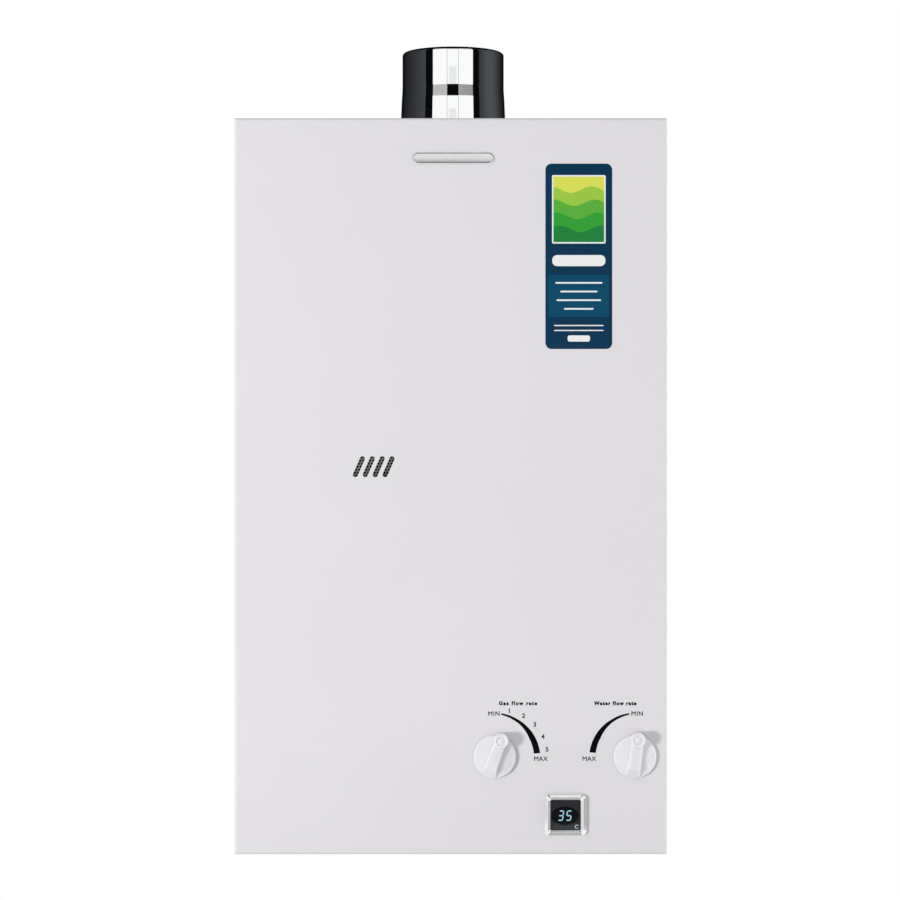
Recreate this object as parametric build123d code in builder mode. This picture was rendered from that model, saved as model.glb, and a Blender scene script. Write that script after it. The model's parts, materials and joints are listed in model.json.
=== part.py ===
from build123d import *
import math
import os

# Wall-hung gas water heater with a fan-assisted flue.
# Millimetres. The wall is the plane y = 0, the front faces -Y and +Z is up.
# The origin is the middle of the four wall screw holes. A depth is a distance in front of the wall.

# Casing
CASE_W = 350.0
CASE_H = 596.0
CASE_D = 170.0
COVER_SHEET = 1.0
COVER_BEND_R = 2.5
COVER_FIT = 0.4
WALL_GAP = 3.0
TOP_LIP_D = 20.0
BOTTOM_LIP_D = 15.0
TRAY_SHEET = 1.2
TRAY_FLANGE_D = 26.0
PLATE_SHEET = 1.2
PLATE_FIT = 0.2
PLATE_FLANGE_H = 12.0
BOTTOM_RECESS = 14.0
EAR_W = 250.0
EAR_H = 18.0
EAR_CORNER_R = 6.0
WALL_HOLE_R = 3.5
WALL_HOLE_SPACING = 200.0
WALL_HOLE_INSET = 9.0
BEAD_L = 180.0
BEAD_W = 14.0
BEAD_RISE = 3.0
BEAD_HEIGHTS = (180.0, 20.0, -150.0)
SCREW_DEPTH = 14.0
SCREW_SPACING = 500.0
SCREW_R = 2.0
SCREW_LENGTH = 9.0
SCREW_HEAD_R = 4.0
SCREW_HEAD_H = 2.2
SCREW_CLEARANCE = 0.2
INTAKE_COUNT = 24
INTAKE_PITCH = 12.0
INTAKE_LENGTH = 30.0
INTAKE_WIDTH = 5.0
INTAKE_DEPTH = 138.0

# Sight slots and the perforated plate behind them
SIGHT_X = -62.3
SIGHT_Z = 15.8
SIGHT_COUNT = 4
SIGHT_PITCH = 8.0
SIGHT_SPAN = 14.2
SIGHT_WIDTH = 4.0
SIGHT_LEAN = 23.7
MESH_W = 54.0
MESH_H = 34.0
MESH_SHEET = 0.8
MESH_STAND = 4.0
MESH_HOLE_R = 0.9
MESH_PITCH = 2.4
MESH_COLUMNS = 19
MESH_ROWS = 5

# Flue collar
FLUE_X = 2.0
FLUE_DEPTH = 85.0
FLUE_R = 42.5
FLUE_STEP_SWELL = 0.7
FLUE_BASE_SWELL = 1.5
FLUE_WALL = 1.0
FLUE_RISE = 64.6
FLUE_STEP_LOW = 23.0
FLUE_STEP_HIGH = 34.0
FLUE_RIM_R = 1.5
FLUE_FLANGE_W = 12.0
FLUE_FLANGE_T = 1.2
FLUE_GASKET_T = 1.5
FLUE_SCREW_COUNT = 4

# Exhaust fan
FAN_SHEET = 1.2
SCROLL_D = 50.0
SCROLL_GAP = 12.0
SCROLL_STEP = 7.0
FAN_DROP = 80.0
OUTLET_W = 66.0
FAN_INLET_R = 36.0
IMPELLER_R = 50.0
IMPELLER_D = 38.0
IMPELLER_GAP = 5.0
IMPELLER_SHEET = 1.2
BLADE_COUNT = 24
BLADE_LENGTH = 11.0
BLADE_T = 1.0
BLADE_SWEEP = 35.0
HUB_R = 8.0
HUB_D = 20.0
SHAFT_R = 3.0
RUNNING_FIT = 0.05
MOTOR_R = 30.0
MOTOR_D = 34.0
MOTOR_FLANGE_R = 37.0
MOTOR_FLANGE_T = 3.0
SHAFT_STUB = 4.0

# Heat exchanger, hood, chamber and burner
CORE_W = 252.0
CORE_BEFORE = 34.0
CORE_REAR = 24.0
HOOD_H = 26.0
HOOD_GAP = 0.3
PLENUM_SIDE = 26.0
PLENUM_RISE = 10.0
CORE_H = 58.0
CORE_SHEET = 1.5
FIN_COUNT = 30
FIN_PITCH = 8.0
FIN_T = 1.0
FIN_H = 44.0
TUBE_COUNT = 5
TUBE_PITCH = 20.0
TUBE_R = 7.0
TUBE_WALL = 1.0
TUBE_STUB = 4.0
CHAMBER_H = 130.0
BURNER_H = 70.0
FRAME_SHEET = 1.2
LEDGE_W = 8.0
BAR_COUNT = 12
BAR_PITCH = 20.0
BAR_W = 15.0
BAR_H = 58.0
BAR_GAP = 0.5
BAR_SHEET = 0.8
FLAME_SLOT_COUNT = 9
FLAME_SLOT_PITCH = 11.0
FLAME_SLOT_L = 10.0
FLAME_SLOT_W = 3.0
VENTURI_R = 4.5
VENTURI_RISE = 12.0
CHEEK_H = 20.0
BRACKET_L = 200.0
BRACKET_H = 24.0
BRACKET_SHEET = 1.5

# Gas manifold and ignition
MANIFOLD_SIZE = 14.0
MANIFOLD_GAP = 6.0
MANIFOLD_BORE_R = 4.5
NOZZLE_R = 3.5
NOZZLE_BORE_R = 0.8
NOZZLE_HOLE_R = 6.0
ELECTRODE_XS = (-30.0, -12.0, 60.0)
ELECTRODE_RISE = 12.0
ELECTRODE_R = 3.5
ELECTRODE_COLLAR_R = 6.0
ELECTRODE_COLLAR_T = 3.0
ELECTRODE_INSIDE = 16.0
ELECTRODE_OUTSIDE = 14.0
ELECTRODE_FIT = 0.2
ROD_R = 1.2
ROD_INSIDE = 36.0
ROD_OUTSIDE = 20.0

# Controls
KNOB_RISE = 79.5
GAS_X = 35.6
WATER_X = 148.9
KNOB_R = 17.2
KNOB_GAP = 1.0
KNOB_RIM_H = 2.5
KNOB_CROWN_H = 3.0
KNOB_CROWN_R = 4.0
KNOB_GRIP_H = 9.0
KNOB_GRIP_W = 13.0
KNOB_GRIP_TOP_W = 8.6
KNOB_GRIP_END = 15.6
KNOB_GRIP_SLOPE = 6.0
KNOB_LOBE_R = 5.8
KNOB_LOBE_OUT = 14.4
KNOB_LOBE_H = 13.0
KNOB_DIMPLE_R = 3.0
KNOB_DIMPLE_D = 0.8
KNOB_SOCKET_D = 6.5
GAS_POINTER = 20.0
WATER_POINTER = 8.0
SPINDLE_R = 3.0
SPINDLE_FLAT = 2.0
SPINDLE_SEAT = 24.0
SPINDLE_HOLE_GAP = 3.0
SOCKET_FIT = 0.1

# Gas valve
VALVE_REAR = 46.0
VALVE_D = 74.0
VALVE_H = 44.0
VALVE_EDGE_R = 3.0
VALVE_AXIS_DEPTH = 84.0
GAS_BODY_W = 60.0
SOLENOID_WALL = 11.0
SOLENOID_L = 38.0
PLUNGER_R = 5.0
PLUNGER_TRAVEL = 4.0
PLUNGER_INSERT = 26.0
POPPET_R = 9.0
POPPET_T = 3.0
POPPET_GAP = 0.3
POPPET_ROOM = 16.4
POPPET_SIDE = 2.0
SEAT_PORT_R = 6.0
SEAT_PORT_L = 14.0
GAS_FEED_DEPTH = 106.0
GAS_FEED_R = 7.0
GAS_FEED_WALL = 1.0
GAS_FEED_BEND_R = 14.0
GAS_FEED_BEND_RISE = 28.0

# Water valve and flow switch
WATER_BODY_W = 34.0
WATER_OUTLET_DEPTH = 100.0
DIAPHRAGM_FLANGE_W = 6.0
DIAPHRAGM_FLANGE_T = 10.0
DIAPHRAGM_SIDE = 1.0
DIAPHRAGM_ROOM_D = 7.0
DIAPHRAGM_R = 21.0
DIAPHRAGM_T = 1.5
DIAPHRAGM_SET = 0.5
COVER_ROOM_D = 8.0
COVER_CAP_T = 12.0
COVER_NECK_R = 7.0
COVER_NECK_L = 6.0
FLOW_ROD_R = 3.0
FLOW_ROD_INSERT = 7.0
FLOW_ROD_BORE_L = 18.0
FLOW_PLATE_CUT = 3.0
FLOW_PLATE_T = 2.0
FLOW_COLLAR_R = 9.0
FLOW_COLLAR_T = 3.0
SWITCH_W = 10.0
SWITCH_D = 20.0
SWITCH_H = 12.0
SWITCH_RISE = 13.0
PIVOT_OUT = 4.4
PIVOT_RISE = 19.0
PIVOT_R = 1.2
PIVOT_FIT = 0.06
SWITCH_EAR_T = 2.0
SWITCH_EAR_H = 6.0
SWITCH_EAR_L = 7.0
LEVER_T = 1.2
LEVER_W = 14.0
LEVER_LOW = 6.4
LEVER_GAP = 0.3
SPRING_WIRE_R = 0.5
SPRING_CLEARANCE = 0.9
SPRING_TURNS = 5
SPRING_GAP = 0.3

# Pipe connections
THREAD_R = 10.48
THREAD_BORE_R = 7.5
THREAD_BELOW = 14.0
THREAD_CHAMFER = 1.0
NECK_CUT = 0.28
NECK_BELOW_NUT = 0.5
CONNECTION_DEPTH = 62.0
HOT_X = -140.0
FITTING_COLLAR_W = 4.52
FITTING_COLLAR_T = 4.0
FITTING_HOLE_FIT = 0.4
NUT_WALL = 2.87
NUT_T = 7.0
NUT_FIT = 0.15
DRAIN_R = 5.0
DRAIN_HEAD_R = 8.5
DRAIN_HEAD_H = 10.0
DRAIN_HEAD_GAP = 0.3
DRAIN_DEPTH = 104.0
DRAIN_FIT = 0.4
DRAIN_FLUTES = 16
DRAIN_FLUTE_R = 0.9
PIPE_BEND_R = 18.0
PIPE_END_BEND_R = 14.0
WRAP_RISE = 30.0
WRAP_CLIMB = 25.0
WRAP_GAP = 0.3
HOT_RISER_X = -162.0
PIPE_APART = 2.0
HOT_JOG_RISE = 60.0
HOT_JOG_H = 26.0
THERMOSTAT_CHEEK = 1.3
THERMOSTAT_H = 18.0
THERMOSTAT_T = 6.0
THERMOSTAT_DISC_R = 7.0
THERMOSTAT_DISC_T = 4.0
THERMOSTAT_DROP = 70.0
THERMOSTAT_FIT = 0.2

# Display
DISPLAY_X = 92.8
DISPLAY_RISE = 32.3
BEZEL_RIM_X = 2.7
BEZEL_RIM_Z = 2.2
BEZEL_CORNER_R = 4.0
BEZEL_T = 3.5
BEZEL_EDGE_R = 1.4
WINDOW_SIZE = 24.5
LENS_LEDGE = 1.15
SLEEVE_WALL = 0.9
SLEEVE_D = 12.0
SLEEVE_FIT = 0.3
LENS_FIT = 0.15
LENS_T = 1.6
BOARD_T = 1.6
LED_SIDE = 2.25
LED_H = 14.0
LED_GAP = 0.3

# Control box, ignition module, air switch, cable gland
BOX_X = -68.0
BOX_W = 100.0
BOX_H = 90.0
BOX_D = 45.0
BOX_WALL = 2.0
BOX_LID_T = 2.0
BOX_RISE = 14.0
BOSS_R = 4.0
BOSS_H = 9.0
BOSS_INSET = 10.0
CIRCUIT_W = 92.0
CIRCUIT_H = 82.0
CIRCUIT_PARTS = (
    (-26.0, 20.0, 30.0, 26.0, 18.0),
    (18.0, 22.0, 22.0, 16.0, 12.0),
    (12.0, -18.0, 34.0, 12.0, 9.0),
)
MODULE_X = 93.0
MODULE_W = 38.0
MODULE_H = 44.0
MODULE_D = 36.0
MODULE_RISE = 30.0
AIR_SWITCH_X = -146.0
AIR_SWITCH_R = 24.0
AIR_SWITCH_D = 18.0
AIR_CAP_R = 14.0
AIR_CAP_D = 5.0
AIR_PORT_R = 3.0
AIR_PORT_L = 8.0
AIR_TUBE_BORE_R = 1.6
AIR_TUBE_BEND_R = 10.0
AIR_TUBE_GAP = 0.3
GLAND_X = -68.0
GLAND_DEPTH = 84.0
GLAND_R = 8.0
GLAND_BORE_R = 3.75
GLAND_FLANGE_R = 11.0
GLAND_FLANGE_T = 3.0
GLAND_ABOVE = 10.0
GLAND_BELOW = 15.0
GLAND_TIP_R = 6.5
GLAND_FIT = 0.3

# Levels and places worked out from the sizes above
TOP_Z = CASE_H / 2
BOTTOM_Z = -CASE_H / 2
TRAY_W = CASE_W - 2 * (COVER_SHEET + COVER_FIT)
TRAY_H = CASE_H - 2 * (COVER_SHEET + COVER_FIT)
WALL_HOLE_RISE = CASE_H + 2 * (EAR_H - WALL_HOLE_INSET)
TOP_PLATE_Z = TRAY_H / 2
TOP_PLATE_UNDER = TOP_PLATE_Z - PLATE_SHEET
BOTTOM_PLATE_Z = BOTTOM_Z + BOTTOM_RECESS
BOTTOM_PLATE_TOP = BOTTOM_PLATE_Z + PLATE_SHEET
PLATE_W = TRAY_W - 2 * (TRAY_SHEET + PLATE_FIT)
PLATE_FRONT = CASE_D - COVER_BEND_R - COVER_FIT
PLATE_D = PLATE_FRONT - TRAY_SHEET
PLATE_MID_Y = -(PLATE_FRONT + TRAY_SHEET) / 2
COVER_INSIDE = CASE_D - COVER_SHEET

FLUE_STEP_R = FLUE_R + FLUE_STEP_SWELL
FLUE_BASE_R = FLUE_R + FLUE_BASE_SWELL
FLUE_FLANGE_R = FLUE_BASE_R + FLUE_FLANGE_W
FLUE_SCREW_CIRCLE_R = FLUE_BASE_R + FLUE_FLANGE_W / 2
FLANGE_BOTTOM_Z = TOP_PLATE_Z + FLUE_GASKET_T
FLANGE_TOP_Z = FLANGE_BOTTOM_Z + FLUE_FLANGE_T
FLUE_TOP_Z = TOP_Z + FLUE_RISE

SCROLL_REAR = FLUE_DEPTH - SCROLL_D / 2
SCROLL_FRONT = FLUE_DEPTH + SCROLL_D / 2
OUTLET_D = SCROLL_D - 2 * FAN_SHEET
SCROLL_R = IMPELLER_R + SCROLL_GAP
SCROLL_R2 = SCROLL_R + SCROLL_STEP
SCROLL_R3 = SCROLL_R2 + SCROLL_STEP
OUTLET_RIGHT = FLUE_X + OUTLET_W / 2
OUTLET_LEFT = FLUE_X - OUTLET_W / 2
SCROLL_X2 = OUTLET_RIGHT - SCROLL_R3
SCROLL_X1 = SCROLL_X2 - SCROLL_STEP
SCROLL_Z = TOP_PLATE_UNDER - FAN_DROP
FAN_X = SCROLL_X1 + SCROLL_STEP / 2
FAN_Z = SCROLL_Z + SCROLL_STEP / 2
IMPELLER_REAR = SCROLL_REAR + FAN_SHEET + IMPELLER_GAP
IMPELLER_FRONT = IMPELLER_REAR + IMPELLER_D
MOTOR_FRONT = SCROLL_FRONT + MOTOR_D

HOOD_TOP = SCROLL_Z - SCROLL_R2 - FAN_SHEET - HOOD_GAP
CORE_TOP = HOOD_TOP - HOOD_H
CORE_BOTTOM = CORE_TOP - CORE_H
CORE_MID_Z = (CORE_TOP + CORE_BOTTOM) / 2
CHAMBER_BOTTOM = CORE_BOTTOM - CHAMBER_H
BURNER_BOTTOM = CHAMBER_BOTTOM - BURNER_H
CORE_FRONT = CASE_D - CORE_BEFORE
CORE_D = CORE_FRONT - CORE_REAR
CORE_Y = -(CORE_REAR + CORE_D / 2)
TUBE_HALF = CORE_W / 2 + TUBE_STUB
TUBE_YS = [CORE_Y + (index - (TUBE_COUNT - 1) / 2) * TUBE_PITCH for index in range(TUBE_COUNT)]
BAR_BOTTOM = BURNER_BOTTOM + FRAME_SHEET
BAR_D = CORE_D - 2 * (FRAME_SHEET + BAR_GAP)
VENTURI_Z = BAR_BOTTOM + VENTURI_RISE
MANIFOLD_REAR = CORE_FRONT + MANIFOLD_GAP
MANIFOLD_FRONT = MANIFOLD_REAR + MANIFOLD_SIZE
MANIFOLD_L = CORE_W - 2 * FRAME_SHEET
ELECTRODE_Z = CHAMBER_BOTTOM + ELECTRODE_RISE

KNOB_Z = BOTTOM_Z + KNOB_RISE
VALVE_FRONT = VALVE_REAR + VALVE_D
VALVE_MID_Y = -(VALVE_REAR + VALVE_D / 2)
VALVE_TOP = KNOB_Z + VALVE_H / 2
VALVE_BOTTOM = KNOB_Z - VALVE_H / 2
GAS_LEFT = GAS_X - GAS_BODY_W / 2
GAS_RIGHT = GAS_X + GAS_BODY_W / 2
SEAT_X = GAS_LEFT + POPPET_ROOM
POPPET_X = SEAT_X - POPPET_GAP
WATER_LEFT = WATER_X - WATER_BODY_W / 2
DIAPHRAGM_ROOM_R = DIAPHRAGM_R + DIAPHRAGM_SIDE
DIAPHRAGM_FLANGE_R = DIAPHRAGM_ROOM_R + DIAPHRAGM_FLANGE_W
DIAPHRAGM_FACE = WATER_LEFT - DIAPHRAGM_FLANGE_T
COVER_CAP_X = DIAPHRAGM_FACE - COVER_CAP_T
PIVOT_X = GAS_RIGHT + SWITCH_W + PIVOT_OUT
PIVOT_Z = KNOB_Z + PIVOT_RISE
FLOW_COLLAR_X = PIVOT_X + LEVER_T / 2 + LEVER_GAP
KNOB_BACK = CASE_D + KNOB_GAP
NECK_R = THREAD_R - NECK_CUT
FITTING_COLLAR_R = THREAD_R + FITTING_COLLAR_W
NUT_FLATS = 2 * (THREAD_R + NUT_FIT + NUT_WALL)
THREAD_END_Z = BOTTOM_Z - THREAD_BELOW
THREAD_TOP_Z = BOTTOM_PLATE_Z - NUT_T - NECK_BELOW_NUT
DISPLAY_Z = BOTTOM_Z + DISPLAY_RISE
SLEEVE_INNER = WINDOW_SIZE + 2 * LENS_LEDGE
SLEEVE_OUTER = SLEEVE_INNER + 2 * SLEEVE_WALL
BEZEL_W = SLEEVE_OUTER + 2 * BEZEL_RIM_X
BEZEL_H = SLEEVE_OUTER + 2 * BEZEL_RIM_Z
BOARD_FRONT = CASE_D - SLEEVE_D
BOX_Z = BOTTOM_PLATE_TOP + BOX_RISE + BOX_H / 2
BOX_FRONT = TRAY_SHEET + BOX_D
MODULE_Z = BOTTOM_PLATE_TOP + MODULE_RISE + MODULE_H / 2

os.makedirs("parts", exist_ok=True)


def wall_plane(depth):
    """A plane parallel to the wall, at a depth in front of it, facing the room."""
    return Plane.XZ.offset(depth)


def side_plane(x, depth, z):
    """A plane across the X axis, centred at a point inside the casing."""
    return Plane(origin=(x, -depth, z), x_dir=(0, 1, 0), z_dir=(1, 0, 0))


def pipe_run(points, outer_r, inner_r, bend_r):
    """A round pipe along straight runs joined by tangent bends, solid where inner_r is 0."""
    with BuildPart() as run:
        with BuildLine() as route:
            FilletPolyline(*points, radius=bend_r)
        with BuildSketch(Plane(origin=route.line @ 0, z_dir=route.line % 0)):
            Circle(outer_r)
            if inner_r > 0:
                Circle(inner_r, mode=Mode.SUBTRACT)
        sweep(path=route.line)
    return run.part


# Back tray: wall plate with ears, stiffening beads and two side flanges
with BuildPart() as back_tray:
    with BuildSketch(wall_plane(0)):
        Rectangle(TRAY_W, TRAY_H)
        RectangleRounded(EAR_W, CASE_H + 2 * EAR_H, EAR_CORNER_R)
        with GridLocations(WALL_HOLE_SPACING, WALL_HOLE_RISE, 2, 2):
            Circle(WALL_HOLE_R, mode=Mode.SUBTRACT)
    extrude(amount=TRAY_SHEET)
    with BuildSketch(wall_plane(TRAY_SHEET)):
        with Locations((0, -PLATE_SHEET / 2)):
            with GridLocations(TRAY_W - TRAY_SHEET, 0, 2, 1):
                Rectangle(TRAY_SHEET, TRAY_H - PLATE_SHEET)
    extrude(amount=TRAY_FLANGE_D - TRAY_SHEET)
    with BuildSketch(wall_plane(TRAY_SHEET)):
        with Locations(*[(0, height) for height in BEAD_HEIGHTS]):
            SlotOverall(BEAD_L, BEAD_W)
    extrude(amount=BEAD_RISE)
    with BuildSketch(wall_plane(0)):
        with Locations(*[(0, height) for height in BEAD_HEIGHTS]):
            SlotOverall(BEAD_L - 2 * TRAY_SHEET, BEAD_W - 2 * TRAY_SHEET)
    extrude(amount=BEAD_RISE, mode=Mode.SUBTRACT)
    with BuildSketch(Plane.YZ):
        with Locations((-SCREW_DEPTH, 0)):
            with GridLocations(0, SCREW_SPACING, 1, 2):
                Circle(SCREW_R + SCREW_CLEARANCE)
    extrude(amount=CASE_W, both=True, mode=Mode.SUBTRACT)
back_tray.part.label = "back_tray"
export_step(back_tray.part, "parts/back_tray.step")

# Top plate: flat roof under the cover's top lip, with the flue outlet
with BuildPart() as top_plate:
    with BuildSketch(Plane.XY.offset(TOP_PLATE_UNDER)):
        with Locations((0, PLATE_MID_Y)):
            Rectangle(TRAY_W, PLATE_D)
        with Locations((FLUE_X, -FLUE_DEPTH)):
            Rectangle(OUTLET_W, OUTLET_D, mode=Mode.SUBTRACT)
            with PolarLocations(FLUE_SCREW_CIRCLE_R, FLUE_SCREW_COUNT, start_angle=45):
                Circle(SCREW_R + SCREW_CLEARANCE, mode=Mode.SUBTRACT)
    extrude(amount=PLATE_SHEET)
    with BuildSketch(Plane.XY.offset(TOP_PLATE_UNDER)):
        with Locations((0, -TRAY_SHEET - PLATE_SHEET / 2), (0, -PLATE_FRONT + PLATE_SHEET / 2)):
            Rectangle(PLATE_W, PLATE_SHEET)
    extrude(amount=-PLATE_FLANGE_H)
top_plate.part.label = "top_plate"
export_step(top_plate.part, "parts/top_plate.step")

# Bottom plate: recessed floor with the pipe holes and the air intake slots
with BuildPart() as bottom_plate:
    with BuildSketch(Plane.XY.offset(BOTTOM_PLATE_Z)):
        with Locations((0, PLATE_MID_Y)):
            Rectangle(PLATE_W, PLATE_D)
        with Locations(*[(x, -CONNECTION_DEPTH) for x in (GAS_X, WATER_X, HOT_X)]):
            Circle(THREAD_R + FITTING_HOLE_FIT, mode=Mode.SUBTRACT)
        with Locations((WATER_X, -DRAIN_DEPTH)):
            Circle(DRAIN_R + DRAIN_FIT, mode=Mode.SUBTRACT)
        with Locations((GLAND_X, -GLAND_DEPTH)):
            Circle(GLAND_R + GLAND_FIT, mode=Mode.SUBTRACT)
        with Locations((0, -INTAKE_DEPTH)):
            with GridLocations(INTAKE_PITCH, 0, INTAKE_COUNT, 1):
                SlotOverall(INTAKE_LENGTH, INTAKE_WIDTH, rotation=90, mode=Mode.SUBTRACT)
    extrude(amount=PLATE_SHEET)
    with BuildSketch(Plane.XY.offset(BOTTOM_PLATE_TOP)):
        with Locations((0, -TRAY_SHEET - PLATE_SHEET / 2), (0, -PLATE_FRONT + PLATE_SHEET / 2)):
            Rectangle(PLATE_W, PLATE_SHEET)
        with Locations((DISPLAY_X, -PLATE_FRONT + PLATE_SHEET / 2)):
            Rectangle(BEZEL_W, 2 * PLATE_SHEET, mode=Mode.SUBTRACT)
    extrude(amount=PLATE_FLANGE_H)
bottom_plate.part.label = "bottom_plate"
export_step(bottom_plate.part, "parts/bottom_plate.step")

# Front cover: folded sheet with full-depth sides and short lips at the top and the bottom
with BuildPart() as front_cover:
    with BuildSketch(wall_plane(WALL_GAP)):
        Rectangle(CASE_W, CASE_H)
    extrude(amount=CASE_D - WALL_GAP)
    fillet(front_cover.faces().sort_by(Axis.Y)[0].edges(), COVER_BEND_R)
    offset(amount=-COVER_SHEET, openings=front_cover.faces().sort_by(Axis.Y)[-1])
    with BuildSketch(wall_plane(WALL_GAP)):
        with Locations((0, TOP_Z)):
            Rectangle(CASE_W - 2 * COVER_SHEET, 2 * COVER_SHEET)
    extrude(amount=CASE_D - WALL_GAP - TOP_LIP_D, mode=Mode.SUBTRACT)
    with BuildSketch(wall_plane(WALL_GAP)):
        with Locations((0, BOTTOM_Z)):
            Rectangle(CASE_W - 2 * COVER_SHEET, 2 * COVER_SHEET)
    extrude(amount=CASE_D - WALL_GAP - BOTTOM_LIP_D, mode=Mode.SUBTRACT)
    with BuildSketch(wall_plane(COVER_INSIDE)):
        with Locations((SIGHT_X, SIGHT_Z)):
            with GridLocations(SIGHT_PITCH, 0, SIGHT_COUNT, 1):
                SlotCenterToCenter(SIGHT_SPAN, SIGHT_WIDTH, rotation=90 - SIGHT_LEAN)
        with Locations((GAS_X, KNOB_Z), (WATER_X, KNOB_Z)):
            Circle(SPINDLE_R + SPINDLE_HOLE_GAP)
        with Locations((DISPLAY_X, DISPLAY_Z)):
            Rectangle(SLEEVE_OUTER + 2 * SLEEVE_FIT, SLEEVE_OUTER + 2 * SLEEVE_FIT)
    extrude(amount=COVER_SHEET, both=True, mode=Mode.SUBTRACT)
    with BuildSketch(Plane.YZ):
        with Locations((-SCREW_DEPTH, 0)):
            with GridLocations(0, SCREW_SPACING, 1, 2):
                Circle(SCREW_R + SCREW_CLEARANCE)
    extrude(amount=CASE_W, both=True, mode=Mode.SUBTRACT)
front_cover.part.label = "front_cover"
export_step(front_cover.part, "parts/front_cover.step")

# Cover screws: two through each side into the tray's flanges
with BuildPart() as cover_screws:
    for side in (-1, 1):
        for height in (-SCREW_SPACING / 2, SCREW_SPACING / 2):
            seat = Plane(origin=(side * CASE_W / 2, -SCREW_DEPTH, height), z_dir=(side, 0, 0))
            with BuildSketch(seat):
                Circle(SCREW_R)
            extrude(amount=-SCREW_LENGTH)
            with BuildSketch(seat):
                Circle(SCREW_HEAD_R)
            extrude(amount=SCREW_HEAD_H, taper=30)
cover_screws.part.label = "cover_screws"
export_step(cover_screws.part, "parts/cover_screws.step")

# Sight mesh: shallow perforated pan on the inside of the cover, behind the slots
with BuildPart() as sight_mesh:
    with BuildSketch(wall_plane(COVER_INSIDE - MESH_STAND - MESH_SHEET)):
        with Locations((SIGHT_X, SIGHT_Z)):
            Rectangle(MESH_W, MESH_H)
    extrude(amount=MESH_STAND + MESH_SHEET)
    with BuildSketch(wall_plane(COVER_INSIDE)):
        with Locations((SIGHT_X, SIGHT_Z)):
            Rectangle(MESH_W - 2 * MESH_SHEET, MESH_H - 2 * MESH_SHEET)
    extrude(amount=-MESH_STAND, mode=Mode.SUBTRACT)
    with BuildSketch(wall_plane(COVER_INSIDE - MESH_STAND)):
        row_pitch = MESH_PITCH * math.sqrt(3)
        with Locations((SIGHT_X, SIGHT_Z)):
            with GridLocations(MESH_PITCH, row_pitch, MESH_COLUMNS, MESH_ROWS):
                Circle(MESH_HOLE_R)
            with Locations((MESH_PITCH / 2, row_pitch / 2)):
                with GridLocations(MESH_PITCH, row_pitch, MESH_COLUMNS - 1, MESH_ROWS + 1):
                    Circle(MESH_HOLE_R)
    extrude(amount=-MESH_SHEET, mode=Mode.SUBTRACT)
sight_mesh.part.label = "sight_mesh"
export_step(sight_mesh.part, "parts/sight_mesh.step")

# Flue collar: tube with a shallow step and an inward rolled rim, standing on its flange
with BuildPart() as flue_collar:
    collar_plane = Plane(origin=(FLUE_X, -FLUE_DEPTH, 0), x_dir=(1, 0, 0), z_dir=(0, -1, 0))
    with BuildSketch(collar_plane) as collar_profile:
        with BuildLine():
            step_low_z = TOP_Z + FLUE_STEP_LOW
            step_high_z = TOP_Z + FLUE_STEP_HIGH
            rim_z = FLUE_TOP_Z - FLUE_RIM_R
            step_middle = ((FLUE_R + FLUE_STEP_R) / 2, (step_low_z + step_high_z) / 2)
            foot = Line((FLUE_BASE_R, FLANGE_TOP_Z), (FLUE_BASE_R, FLANGE_TOP_Z + FLUE_FLANGE_T))
            cone = Line(foot @ 1, (FLUE_STEP_R, step_low_z))
            swell = TangentArc(cone @ 1, step_middle, tangent=(0, 1))
            waist = TangentArc(swell @ 1, (FLUE_R, step_high_z), tangent=swell % 1)
            tube = Line(waist @ 1, (FLUE_R, rim_z))
            JernArc(start=tube @ 1, tangent=(0, 1), radius=FLUE_RIM_R, arc_size=90)
            offset(amount=FLUE_WALL, side=Side.LEFT)
        make_face()
    revolve(axis=Axis((FLUE_X, -FLUE_DEPTH, 0), (0, 0, 1)))
flue_collar.part.label = "flue_collar"
export_step(flue_collar.part, "parts/flue_collar.step")

# Flue flange: flat ring under the collar
with BuildPart() as flue_flange:
    with BuildSketch(Plane.XY.offset(FLANGE_BOTTOM_Z)):
        with Locations((FLUE_X, -FLUE_DEPTH)):
            Circle(FLUE_FLANGE_R)
            Circle(FLUE_BASE_R - FLUE_WALL, mode=Mode.SUBTRACT)
            with PolarLocations(FLUE_SCREW_CIRCLE_R, FLUE_SCREW_COUNT, start_angle=45):
                Circle(SCREW_R + SCREW_CLEARANCE, mode=Mode.SUBTRACT)
    extrude(amount=FLUE_FLANGE_T)
flue_flange.part.label = "flue_flange"
export_step(flue_flange.part, "parts/flue_flange.step")

# Flue gasket between the collar's flange and the top plate
with BuildPart() as flue_gasket:
    with BuildSketch(Plane.XY.offset(TOP_PLATE_Z)):
        with Locations((FLUE_X, -FLUE_DEPTH)):
            Circle(FLUE_FLANGE_R)
            Circle(FLUE_BASE_R - FLUE_WALL, mode=Mode.SUBTRACT)
            with PolarLocations(FLUE_SCREW_CIRCLE_R, FLUE_SCREW_COUNT, start_angle=45):
                Circle(SCREW_R + SCREW_CLEARANCE, mode=Mode.SUBTRACT)
    extrude(amount=FLUE_GASKET_T)
flue_gasket.part.label = "flue_gasket"
export_step(flue_gasket.part, "parts/flue_gasket.step")

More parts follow.
